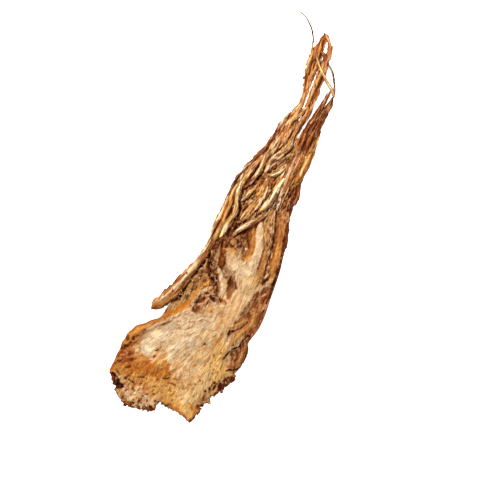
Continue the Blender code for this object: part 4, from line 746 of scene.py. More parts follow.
FIBRE_RELIEF, CRACK_RELIEF, SWELL_RELIEF, UNDER_RELIEF = 0.12, 0.40, 0.25, 0.25
BARK_CRUMB_RELIEF, WOOD_CRUMB_RELIEF = 0.35, 0.06
CROWN_FROM, CROWN_WHOLLY = -34, -46
WOOD_FROM, WOOD_WHOLLY = 0.14, 0.28
CLEAR_OF_TABLE = 0.02


def slab_mesh():
    """The slab's points, faces, colour and grain. Its top is the underside's height, plus the thickness, less
    the fall to the rim, plus the strokes' relief and the fibres' own. No crack goes deeper than DEEPEST."""
    x, y, u, v, to_rim, across, run = slab_grid()
    rise_in = np.sqrt(1 - (1 - np.clip(to_rim / RIM_WIDTH, 0, 1)) ** 2)
    thickness = CROWN_THICKNESS + (TAIL_THICKNESS - CROWN_THICKNESS) * u
    low = underside(x, y)
    drop = 0.5 * thickness * (1 - RIM_SHARE) * (1 - rise_in)
    px, py = x.ravel(), y.ravel()
    tint = np.tile(PAINT["bark"], (px.size, 1))
    rise = np.zeros(px.size)
    dress(px, py, tint, rise, (CROWN_STROKES, scattered_marks(MARK_PATCHES, 61), FORK_STROKES, WAIST_STROKES,
                               scattered_marks(FORK_PATCHES, 62), CROWN_MARKS))
    along_grain, across_grain = u * run, (v - 0.5) * across
    wood = smooth(WOOD_FROM, WOOD_WHOLLY, tint[:, 0])
    fan_x, fan_y = px - FAN_CENTRE[0], py - FAN_CENTRE[1]
    fan_out, fan_turn = np.hypot(fan_x, fan_y), np.arctan2(-fan_x, -fan_y)
    fan = lumps(fan_turn * 34, fan_out * 0.22, 1.0, 41, 2)
    lines = lumps(across_grain.ravel() * 1.2, along_grain.ravel() * 0.24, 1.0, 31, 2)
    in_crown = smooth(CROWN_FROM, CROWN_WHOLLY, py)
    fibres = in_crown * fan + (1 - in_crown) * lines
    crumbs = lumps(px, py, 0.9, 32, 2)
    rough = 1 - 0.55 * smooth(3, 9, px) * smooth(-2, -8, py)
    grooves = smooth(-0.15, -0.75, fibres) * (1 - wood) * rough
    rise += (FIBRE_RELIEF * fibres + (BARK_CRUMB_RELIEF * (1 - wood) * rough + WOOD_CRUMB_RELIEF) * crumbs
             - CRACK_RELIEF * grooves + SWELL_RELIEF * lumps(px, py, 7.0, 33, 2))
    tint *= (1 + (0.20 + 0.25 * (1 - wood)) * fibres + (0.05 + 0.30 * (1 - wood) * rough) * crumbs)[:, None]
    # Painted shade in the bark's cracks, which the relief above also sinks.
    tint += (PAINT["umber"] - tint) * (0.7 * grooves)[:, None]
    # Painted highlights on the bark where its crumbs and fibres stand highest.
    light = smooth(0.35, 0.8, crumbs + 0.4 * fibres) * (1 - wood)
    tint += (PAINT["pale"] - tint) * (0.35 * light)[:, None]
    rise = np.maximum(rise, DEEPEST * np.tanh(rise / DEEPEST)).reshape(x.shape) * smooth(0, 1.2, to_rim)
    top = low + thickness - drop + rise
    under_rise = UNDER_RELIEF * lumps(px, py, 1.4, 34, 4).reshape(x.shape)
    bottom = low + drop + np.maximum(0.0, under_rise) * smooth(0, 1.5, to_rim) + CLEAR_OF_TABLE
    tint_top = tint.reshape(*x.shape, 3)
    rim = smooth(0.9, 0.0, to_rim + 0.35 * lumps(x, y, 1.3, 35))[..., None]
    tint_top += (PAINT["bark"] * (1 + 0.4 * lumps(x, y, 1.6, 36)[..., None]) - tint_top) * 0.75 * rim
    tint_low = np.tile(PAINT["tan"], (px.size, 1))
    core = smooth(2.5, 9, to_rim.ravel() + 3 * lumps(px, py, 6, 37)) * smooth(30, 5, py)
    tint_low += (PAINT["cream"] - tint_low) * core[:, None]
    tint_low += (PAINT["bark"] - tint_low) * (smooth(0.0, 0.9, lumps(px, py * 0.5, 2.4, 38)) * 0.6)[:, None]
    tint_low = tint_low.reshape(*x.shape, 3)
    tint_low += (PAINT["umber"] - tint_low) * smooth(2.0, 0.2, to_rim)[..., None] * 0.8
    some = (slice(None, None, COARSER), slice(None, None, COARSER))
    points = np.vstack([np.stack([x, y, top], -1).reshape(-1, 3),
                        np.stack([x, y, bottom], -1)[some].reshape(-1, 3)])
    colour = np.vstack([tint_top.reshape(-1, 3), tint_low[some].reshape(-1, 3)])
    grain = np.stack([along_grain, across_grain], -1)
    grain = np.vstack([grain.reshape(-1, 2), grain[some].reshape(-1, 2) + 40])
    return points, slab_faces(*x.shape), np.clip(colour, DARKEST, LIGHTEST), grain


class Wire:
    """A shader socket that takes part in Python expressions; each operation adds its Math node."""

    tree = None

    def __init__(self, socket):
        self.socket = socket

    @classmethod
    def node(cls, kind, settings=None, **inputs):
        """A node of that kind, with its settings made first and then its sockets' values or links."""
        made = cls.tree.nodes.new(kind)
        for key, value in (settings or {}).items():
            setattr(made, key, value)
        for key, value in inputs.items():
            socket = made.inputs[int(key[1:]) if key[0] == "_" else key.replace("_", " ")]
            if isinstance(value, Wire):
                cls.tree.links.new(value.socket, socket)
            else:
                socket.default_value = value
        return made

    @classmethod
    def math(cls, operation, first, second):
        """The result of that Math operation on two wires or numbers."""
        return cls(cls.node("ShaderNodeMath", {"operation": operation}, _0=first, _1=second).outputs[0])

    def __add__(self, other):
        return Wire.math("ADD", self, other)

    def __sub__(self, other):
        return Wire.math("SUBTRACT", self, other)

    def __mul__(self, other):
        return Wire.math("MULTIPLY", self, other)

    def __pow__(self, other):
        return Wire.math("POWER", self, other)

    def __rsub__(self, other):
        return Wire.math("SUBTRACT", other, self)

    __radd__, __rmul__ = __add__, __mul__

    def between(self, low, high):
        """Nil at low, one at high, level outside them."""
        return Wire(Wire.node("ShaderNodeMapRange", {"interpolation_type": "SMOOTHSTEP"},
                              _0=self, _1=low, _2=high).outputs[0])


def noise(place, scale, detail=3.0, roughness=0.6):
    """Blender's own noise over a place, from nil to one."""
    return Wire(Wire.node("ShaderNodeTexNoise", None, Vector=place, Scale=scale, Detail=detail,
                          Roughness=roughness).outputs[0])


def stretched(place, x, y, z):
    """The place multiplied by a different number along each axis."""
    return Wire(Wire.node("ShaderNodeVectorMath", {"operation": "MULTIPLY"},
                          _0=place, _1=(x, y, z)).outputs[0])


def blended(factor, first, second, how="MIX"):
    """Colours mixed by the factor, or multiplied."""
    return Wire(Wire.node("ShaderNodeMix", {"data_type": "RGBA", "blend_type": how},
                          _0=factor, _6=first, _7=second).outputs[2])


def toned(colour, powers, tops):
    """Red, green and blue each raised to a power of its own and scaled: dark root is redder than pale."""
    parts = Wire.node("ShaderNodeSeparateColor", None, _0=colour)
    red, green, blue = (Wire(parts.outputs[i]) ** powers[i] * tops[i] for i in range(3))
    return Wire(Wire.node("ShaderNodeCombineColor", None, _0=red, _1=green, _2=blue).outputs[0])


BUMP_DEPTH = 0.45
PORE_COLOUR, OIL_TINT = (0.07, 0.03, 0.012, 1.0), (1.05, 0.78, 0.52, 1.0)


def dried_root(name, fibre_depth, crumb_depth, powers, tops):
    """Dry root: the painted tint, broken up by fibres along the grain, by fine crumbs and by pores in the
    pale wood, warmed in patches where the oil has come out, toned, and bumped by the same three."""
    material = bpy.data.materials.new(name)
    material.use_nodes = True
    Wire.tree = material.node_tree
    shader = material.node_tree.nodes["Principled BSDF"]
    tint = Wire(Wire.node("ShaderNodeAttribute", {"attribute_name": "tint"}).outputs[0])
    grain = Wire(Wire.node("ShaderNodeAttribute", {"attribute_name": "grain"}).outputs[1])
    place = stretched(Wire(Wire.node("ShaderNodeTexCoord").outputs[3]), 1 / MM, 1 / MM, 1 / MM)
    brightness = Wire(Wire.node("ShaderNodeRGBToBW", None, _0=tint).outputs[0])
    wood = brightness.between(0.055, 0.15)
    fibres = noise(stretched(grain, 0.18, 1.1, 1.0), 1.0, 3.0, 0.6).between(0.3, 0.7)
    hairs = noise(stretched(grain, 0.32, 2.2, 1.0), 1.0, 2.0, 0.6).between(0.3, 0.7)
    crumbs = noise(place, 1.1, 4.0, 0.65).between(0.3, 0.7)
    cells = Wire(Wire.node("ShaderNodeTexVoronoi", {"feature": "F1"}, Vector=place, Scale=0.85).outputs[0])
    pores = (1.0 - cells.between(0.06, 0.16)) * wood * noise(place, 0.23, 1.0).between(0.48, 0.56)
    bark = 1.0 - wood
    shade = (0.66 - bark * 0.24 + fibres * (0.20 + bark * 0.14) + hairs * (0.22 + bark * 0.20)
             + crumbs * (0.20 + bark * 0.22))
    grey = Wire(Wire.node("ShaderNodeCombineColor", None, _0=shade, _1=shade, _2=shade).outputs[0])
    colour = blended(1.0, tint, grey, "MULTIPLY")
    colour = blended(pores * 0.7, colour, PORE_COLOUR)
    warm = noise(place, 0.42, 3.0).between(0.5, 0.72) * 0.3
    colour = blended(warm, colour, blended(1.0, colour, OIL_TINT, "MULTIPLY"))
    colour = toned(colour, powers, tops)
    relief = (fibres * 0.5 + hairs * 0.5) * fibre_depth + crumbs * 0.5 * crumb_depth - pores * 0.3
    bump = Wire.node("ShaderNodeBump", None, Strength=1.0, Distance=BUMP_DEPTH * MM, Height=relief)
    Wire.tree.links.new(colour.socket, shader.inputs["Base Color"])
    Wire.tree.links.new((0.9 - wood * 0.12 - fibres * 0.12).socket, shader.inputs["Roughness"])
    Wire.tree.links.new(bump.outputs[0], shader.inputs["Normal"])
    shader.inputs["Specular IOR Level"].default_value = 0.05
    return material


slab = add_mesh("crown_and_waist", *slab_mesh())
SLAB_TONES = (0.94, 1.12, 1.22), (0.90, 1.11, 1.60)
slab.data.materials.append(dried_root("cut_wood_and_bark", 0.8, 0.9, *SLAB_TONES))
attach(slab, "root")
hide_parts("root_slice")

# The long pale root down the left edge
# A side root that came away from the waist as the slice dried: its cut face is pale, its bark orange brown.
# It lies on the slab's left edge and ends free beside the crown.
# On the tail, the black and dark lines are painted shade in the slits and creases between its bundles, which
# their lift also sinks.
TAIL_STROKES = [
    ("chestnut", 0.8, 0, 0.6, [(22.4, 31.4, 0.9), (25.2, 35.6, 1.3), (28.2, 40, 1.4), (31.2, 45, 1.2),
     (33.4, 51, 1), (34.6, 57, 1), (36.2, 63, 1), (38.6, 68, 1), (39.9, 71.4, 0.7)]),
    ("umber", 0.7, -0.3, 0.3, [(23, 30.2, 0.3), (25.6, 34.4, 0.35), (28.2, 38.2, 0.3)]),
    ("russet", 0.7, -0.2, 0.3, [(24.4, 39.4, 0.3), (27, 42.4, 0.35), (30, 44.8, 0.4), (31.6, 48, 0.35),
     (32.3, 52, 0.4), (32.5, 56, 0.4), (33.2, 60.6, 0.45)]),
    ("straw", 0.95, 0.4, 0.1, [(31.8, 41.3, 0.4), (29.6, 40.1, 0.55), (27.8, 39.2, 0.5), (26.3, 38.3, 0.35)]),
    ("black", 0.9, -0.7, 0.1, [(29.2, 41.2, 0.3), (27.6, 40.2, 0.35), (26.2, 39.4, 0.25)]),
    ("black", 0.85, -0.7, 0.1, [(31.2, 40, 0.3), (30, 38.4, 0.35), (28.6, 37.6, 0.25)]),
    ("black", 0.85, -0.7, 0.1, [(25.6, 38, 0.25), (25, 36.4, 0.35), (24.4, 34.8, 0.3)]),
    ("brown", 0.7, 0, 0.2, [(28.6, 37.2, 0.5), (25.4, 35.8, 0.5)]),
    ("straw", 0.9, 0.3, 0.1, [(29.2, 37.2, 0.35), (28.2, 35.6, 0.45), (27, 33.8, 0.45), (26, 32.4, 0.35)]),
    ("gold", 0.9, 0.3, 0.1, [(31.6, 38.6, 0.4), (30.2, 35.8, 0.5), (28.6, 33, 0.5), (27, 30.6, 0.45),
     (25.8, 28.8, 0.4)]),
    ("straw", 0.8, 0.3, 0.1, [(33.2, 47.8, 0.4), (31.6, 45, 0.5), (29.6, 43.2, 0.5), (27.8, 41.9, 0.4)]),
    ("dark", 0.8, -0.5, 0.1, [(33.4, 46, 0.25), (32.2, 43.6, 0.35), (30.6, 42.2, 0.3)]),
    ("gold", 0.8, 0.3, 0.2, [(34.8, 56, 0.4), (34.7, 54, 0.55), (34.4, 51.4, 0.4)]),
    ("peach", 0.9, 0.2, 0.1, [(34.6, 57.9, 0.4)]),
    ("rust", 0.6, -0.2, 0.2, [(36.2, 60.6, 0.4), (35.4, 58, 0.4), (35.3, 54.6, 0.3)]),
    ("chestnut", 0.6, 0.2, 0.2, [(38.9, 70.6, 0.5), (37.9, 68, 0.6), (36.5, 65, 0.5)]),
    ("gold", 0.8, 0.2, 0.2, [(40.6, 70.8, 0.5), (40.2, 68.6, 0.6), (39.2, 66.4, 0.5)]),
    ("dark", 0.9, -0.3, 0.2, [(40.8, 73.3, 0.6), (40, 72.4, 0.4)]),
    ("dark", 0.8, -0.4, 0.2, [(38, 66.6, 0.3), (36.8, 63.6, 0.35), (36.2, 61.4, 0.3)]),
    ("dark", 0.9, -0.2, 0.1, [(33.2, 61, 0.5)]),
    ("dark", 0.9, -0.2, 0.1, [(32.4, 55.5, 0.4)]),
    ("dark", 0.9, -0.2, 0.1, [(32.3, 52.7, 0.4)]),
    ("tan", 0.8, 0.1, 0.4, [(35.6, 43.6, 0.8), (36.8, 47.4, 0.9), (38, 51.4, 1), (39.4, 56, 0.9),
     (40.8, 60.2, 0.8)]),
    ("straw", 0.6, 0.2, 0.2, [(35.4, 45.4, 0.35), (36.6, 49.4, 0.4), (37.8, 53.8, 0.4), (39.6, 58.6, 0.4)]),
    ("russet", 0.8, -0.4, 0.2, [(36.8, 45.2, 0.3), (38.2, 49.4, 0.35), (39.6, 53.8, 0.35), (41, 57.6, 0.3)]),
    ("umber", 0.9, -0.2, 0.2, [(39.4, 63.6, 0.5), (40.9, 62.6, 0.5), (42.2, 60.8, 0.5)]),
    ("umber", 0.9, -0.2, 0.2, [(40.2, 65.4, 0.4), (41.4, 64, 0.4), (42.6, 61, 0.4)]),
    ("gold", 0.8, 0.2, 0.2, [(42.6, 71.2, 0.4), (43.2, 69.2, 0.4), (43.6, 67.4, 0.35)]),
    ("white", 0.95, 0, 0.1, [(33.6, 41.6, 0.25), (32.2, 40, 0.35), (30.8, 38.4, 0.25)]),
    ("rust", 0.5, 0.1, 0.4, [(43.2, 50, 0.5), (41.4, 46.6, 0.8), (39.4, 43.2, 0.9), (37.2, 39.6, 0.9),
     (35.2, 36.4, 0.9), (33.2, 33.2, 0.9), (31, 30.6, 0.8)]),
    ("gold", 0.6, 0.2, 0.2, [(40.4, 45.6, 0.3), (38.2, 42.2, 0.4), (36.2, 38.8, 0.4), (34.2, 36, 0.5),
     (32.2, 33.2, 0.5), (30.2, 31.2, 0.4)]),
    ("dark", 0.8, -0.3, 0.1, [(43.6, 50.6, 0.6)]),
    ("dark", 0.85, -0.6, 0.1, [(40.6, 43.9, 0.3), (38.8, 41.2, 0.35), (36.6, 37.8, 0.35),
     (34.8, 34.8, 0.25)]),
    ("russet", 0.8, 0, 0.4, [(43.6, 46.4, 0.9), (41.8, 42.6, 1.2), (39.4, 38.6, 1.4), (37.4, 35, 1.2)]),
    ("grey", 0.7, 0.2, 0.2, [(42, 43.8, 0.4), (40.4, 41.4, 0.5), (38.4, 38.6, 0.5), (36.6, 36, 0.5),
     (35.4, 33.6, 0.4)]),
    ("umber", 0.8, -0.3, 0.2, [(44.4, 47.6, 0.4), (43.6, 43.6, 0.4), (41.8, 40.4, 0.45), (39.6, 36.6, 0.45),
     (38.2, 34, 0.4)]),
    ("tan", 0.8, 0.3, 0.2, [(38.6, 34.6, 0.3), (37.2, 31.8, 0.6), (35.8, 28.6, 0.6)]),
    ("black", 1, -0.6, 0.1, [(38.8, 34.8, 0.12), (37.3, 32.2, 0.32), (36.2, 30, 0.3), (35.4, 28.4, 0.12)]),
]
LEFT_ROOT_STROKES = [
    ("brown", 0.8, 0, 0.5, [(-4.4, -9.6, 1.6), (-8, -15, 1.7), (-12.6, -20.8, 2), (-17.4, -26.8, 2.6),
     (-21.2, -30.6, 2.8), (-26.4, -34.8, 2.8)]),
    ("chestnut", 0.6, -0.1, 0.3, [(-5.6, -11.2, 0.4), (-9.8, -15.6, 0.5), (-13.8, -20.2, 0.6),
     (-17.4, -23.4, 0.7), (-20.8, -27.4, 0.8), (-24.4, -30.4, 0.8), (-27.4, -33.6, 0.8),
     (-28.4, -35.6, 0.7)]),
    ("gold", 0.8, 0, 0.3, [(-11.8, -22.2, 0.4), (-14.4, -25.6, 0.5), (-17.2, -29.2, 0.6), (-20.4, -32, 0.7),
     (-23.4, -34.6, 0.7), (-25.4, -36.4, 0.6)]),
    ("tan", 0.8, 0.1, 0.3, [(-4.8, -9.2, 0.7), (-9.5, -16.6, 1.1), (-14, -22.2, 1.1), (-18.2, -27.6, 1.1),
     (-22.4, -31.6, 1), (-26, -34.6, 0.8)]),
    ("pale", 0.85, 0.15, 0.35, [(-4.8, -9.2, 0.4), (-7.3, -13.3, 0.6), (-9.5, -16.8, 0.65),
     (-11.8, -20.2, 0.7), (-14, -22.4, 0.7), (-16, -24.8, 0.7), (-18.2, -27.4, 0.65), (-21, -30, 0.5),
     (-24, -32.6, 0.4), (-25.8, -34.2, 0.3)]),
    ("dark", 1, -0.3, 0.1, [(-14.1, -22.3, 0.5)]),
    ("umber", 1, -0.3, 0.1, [(-15.8, -26, 0.45)]),
    ("dark", 1, -0.3, 0.1, [(-19.7, -29.4, 0.5)]),
    ("umber", 0.7, -0.2, 0.2, [(-20.2, -28.4, 0.3), (-22.6, -30.2, 0.35), (-25.2, -32.6, 0.3)]),
    ("rust", 0.8, -0.1, 0.4, [(-28.4, -35.8, 0.6), (-27.2, -36.4, 0.7), (-25.8, -36.8, 0.6)]),
]
ALL_STROKES = (FORK_STROKES, WAIST_STROKES, TAIL_STROKES, LEFT_ROOT_STROKES,
               scattered_marks(FORK_PATCHES, 62))
SIDE_WANDER, FOLD_RELIEF, FOLD_CRACK, SLIVER_RELIEF, STROKE_SHARE = 0.2, 0.22, 0.16, 0.12, 0.7
LEAST_HEIGHT, TIP_LENGTH, TIP_WIDTH, OVAL = 0.03, 1.4, 0.15, 0.6
GAIN_FADE = (0.25, 0.55)


# Each side root is given a glint colour, laid on as painted highlights, and a dark colour, laid on as painted
# shade in its grooves, creases and along its sides.
def strand(first_height, last_height, roundness, path, crest, flank, seed, around=40, step=0.42, folds=1.0,
           glint="white", shine=0.6, gain=1.42, plain=0.15, gap="dark"):
    """One side root: an oval section, flattened on top where it was cut, carried along the path. Its two
    sides wander by noise and its skin is folded lengthways. Heights are those of its middle over the
    underside, in mm. Two gains brighten its first end by the first and the rest by the second. Returns
    points, walls, ends, colour and grain."""
    control = np.array(path, float)
    length = np.hypot(*np.diff(control[:, :2], axis=0).T).sum()
    rings = max(9, int(length / step))
    x, y, half = along(path, rings).T
    share = np.linspace(0, 1, rings)
    s = share * length
    tip = np.clip(np.minimum(s, length - s) / (TIP_LENGTH * half.max()), 0, 1)
    half = half * np.maximum(np.sqrt(1 - (1 - tip) ** 2), TIP_WIDTH)
    heading = np.gradient(np.column_stack([x, y]), axis=0)
    heading /= np.hypot(*heading.T)[:, None]
    turn = np.linspace(0, 2 * np.pi, around, endpoint=False)
    across, up = np.cos(turn)[None], np.sin(turn)[None]
    sides = [1 + SIDE_WANDER * lumps(s, np.full(rings, 5.0 * side), 1.3, seed + side) for side in (0, 1)]
    out = half[:, None] * across * np.where(across > 0, sides[0][:, None], sides[1][:, None])
    px = x[:, None] + heading[:, 1:] * out
    py = y[:, None] - heading[:, :1] * out
    low = underside(x, y) + first_height + (last_height - first_height) * share
    fold_at = out * 1.3 + np.where(up < 0, 40.0, 0.0)
    fold = lumps(fold_at, s[:, None] * 0.17 + 0 * out, 1.0, seed + 2, 2) * smooth(0, 0.4, np.abs(up))
    groove = smooth(-0.1, -0.65, fold)
    # Where the painted highlights go: the crests of the folds on the upper face.
    crest_light = smooth(0.25, 0.8, fold) * smooth(0.3, 0.8, up)
    wide = np.minimum(half, 1.6)[:, None]
    pz = (low[:, None] + half[:, None] * roundness * np.sign(up) * np.abs(up) ** OVAL
          + (FOLD_RELIEF * fold - FOLD_CRACK * groove) * folds * wide * np.sign(up))
    sliver = lumps(fold_at * 2.0, s[:, None] * 0.32 + 0 * out, 1.0, seed + 4, 2)
    edge = half[:, None] * (1 - np.abs(across)) + 0.16 * lumps(out, s[:, None] + 0 * out, 1.4, seed + 3)
    # Painted shade along the sides, where one strand meets the next, broken up by noise.
    edge_shade = smooth(0.34, 0.06, edge) * smooth(0.4, 0.8, half)[:, None]
    edge_shade = edge_shade * smooth(-0.6, 0.1, lumps(s[:, None] + 0 * out, across * 9 + 0 * out, 2.2, seed + 6, 2))
    # Crest colour on the upper face, flank colour down the sides and beneath. On the cut roots this is cut
    # wood against bark; where crest and flank are two shades of one bark, the paler top and darker sides are
    # painted light and shade.
    lit = smooth(0.1, 0.55, edge) * smooth(-0.1, 0.2, up)
    tint = PAINT[flank] + (PAINT[crest] - PAINT[flank]) * lit[..., None]
    # Painted light and shade of the folds: the skin is painted lighter where a fold rises and darker where it
    # sinks.
    tint = (tint * (1 + 0.35 * fold)[..., None]).reshape(-1, 3)
    bare = tint.copy()
    rise = np.zeros(px.size)
    dress(px.ravel(), py.ravel(), tint, rise, ALL_STROKES)
    on_top = smooth(0.0, 0.45, up + 0 * out).ravel()
    tint = bare + (tint - bare) * on_top[:, None] * (1 - plain)
    # More painted light and shade of the folds, on the upper face alone.
    tint *= (1 + 0.30 * fold.ravel() * on_top)[:, None]
    # The gains brighten the whole strand, which also gives back the middle tone that the painted shade takes
    # away.
    gains = gain if isinstance(gain, tuple) else (gain, gain)
    tint *= np.repeat(np.interp(share, GAIN_FADE, gains), around)[:, None]
    # Painted shade in the folds' grooves, in the strand's dark colour.
    tint += (PAINT[gap] * 1.6 - tint) * (0.55 * groove).reshape(-1, 1)
    # Painted highlights: the glint colour on the crests of the folds and on the raised slivers of the upper
    # face.
    tint += (PAINT[glint] - tint) * (shine * crest_light * smooth(-0.4, 0.5, sliver)).reshape(-1, 1)
    tint += (PAINT[glint] - tint) * (shine * smooth(0.45, 0.75, sliver) * smooth(0.2, 0.7, up)).reshape(-1, 1)
    # Painted shade in the thin creases between the slivers.
    tint += (PAINT[gap] - tint) * (0.65 * smooth(-0.42, -0.72, sliver)).reshape(-1, 1)
    # The painted shade along the sides, laid on last.
    tint += (PAINT[gap] - tint) * (0.75 * edge_shade).reshape(-1, 1)
    narrow = np.minimum(half / 0.8, 1)[:, None]
    pz = pz + SLIVER_RELIEF * sliver * smooth(0.1, 0.5, np.abs(up)) * np.sign(up) * narrow
    pz = pz + (rise * on_top * np.repeat(np.minimum(half / 1.2, 1), around)).reshape(pz.shape) * STROKE_SHARE
    points = np.stack([px, py, np.maximum(pz, LEAST_HEIGHT)], -1).reshape(-1, 3)
    ring = np.arange(rings * around).reshape(rings, around)
    after = np.roll(ring, -1, axis=1)
    walls = np.stack([ring[:-1], ring[1:], after[1:], after[:-1]], -1).reshape(-1, 4)
    ends = [ring[0], ring[-1, ::-1]]
    grain = np.column_stack([(s[:, None] + 0 * out).ravel() + 13 * seed,
                             (out + np.where(up < 0, 9.0, 0.0)).ravel()])
    return points, walls, ends, np.clip(tint, 0.003, LIGHTEST), grain


def bundle(name, strands, material):
    """One piece made of several side roots; it rides on the root and takes its place together with the
    slab."""
    points, faces, tints, grains, count = [], [], [], [], 0
    for values in strands:
        settings = values[7] if len(values) > 7 else {}
        p, walls, ends, tint, grain = strand(*values[:7], **settings)
        faces += (walls + count).tolist() + [(end + count).tolist() for end in ends]
        points.append(p)
        tints.append(tint)
        grains.append(grain)
        count += len(p)
    made = add_mesh(name, np.vstack(points), faces, np.vstack(tints), np.vstack(grains))
    made.data.materials.append(material)
    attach(made, "root")
    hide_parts("root_slice")
    return made


STRAND_TONES = (0.88, 1.08, 1.15), (0.98, 1.34, 1.90)
strand_finish = dried_root("cut_side_roots", 1.0, 0.7, *STRAND_TONES)
bundle("long_left_root", [
    (2.3, 3.5, 0.8, [
        (-28.5, -36.7, 0.8), (-27.0, -35.5, 2.1), (-24.5, -33.5, 2.6), (-20.9, -30.6, 2.7),
        (-17.3, -27.2, 2.5),
        (-14.9, -23.9, 2.2), (-12.1, -20.9, 1.9), (-9.3, -17.5, 1.7), (-6.5, -13.6, 1.7), (-3.9, -9.1, 1.75),
        (-1.7, -4.5, 1.8), (0.8, 0.1, 1.8), (4.4, 9.4, 1.5), (8.6, 17.4, 0.8)], "tan", "brown", 101,
     {"around": 44, "shine": 0.15, "glint": "straw", "folds": 1.1, "gain": (0.94, 1.15), "gap": "umber",
      "plain": 0.0}),
], strand_finish)

# The bark roots down the right edge
# The bark on the right side, with the roots that grew in it cut along: tan on the cut, dark brown outside,
# and an orange one beside the furrow.
bundle("right_edge_roots", [
    (2.2, 2.0, 0.95, [
        (31.0, 14.6, 0.9), (29.4, 8.6, 1.8), (26.8, 4.2, 1.7), (25.6, -0.6, 1.5), (25.1, -6.2, 1.7),
        (23.9, -12.2, 1.9), (21.9, -18.6, 1.65), (19.6, -25.4, 1.6), (17.4, -31.8, 1.7), (14.9, -37.8, 1.8),
        (12.3, -42.6, 1.7), (9.8, -47.0, 1.0)], "bark", "umber", 111,
     {"glint": "chestnut", "shine": 0.2, "gain": 0.94}),
    (2.9, 2.9, 0.7, [
        (24.2, 3.4, 0.6), (23.6, -3.0, 0.9), (22.8, -9.0, 1.1), (21.4, -14.6, 1.1), (20.0, -19.8, 1.0),
        (18.8, -24.6, 0.6)], "tan", "brown", 112, {"glint": "straw", "shine": 0.3, "gain": 1.07}),
    (3.1, 2.9, 0.7, [
        (14.2, -36.6, 0.7), (12.0, -41.0, 1.2), (9.4, -44.0, 1.3), (6.6, -46.6, 1.2), (4.4, -49.8, 0.7)],
     "tan", "bark", 113, {"glint": "straw", "shine": 0.3, "gain": 1.1}),
    (2.4, 2.2, 0.8, [
        (10.0, -50.0, 0.7), (8.8, -53.8, 1.5), (7.2, -57.0, 1.6), (4.6, -59.6, 0.9)], "brown", "umber", 114,
     {"glint": "tan", "shine": 0.3, "gain": 0.88}),
], strand_finish)

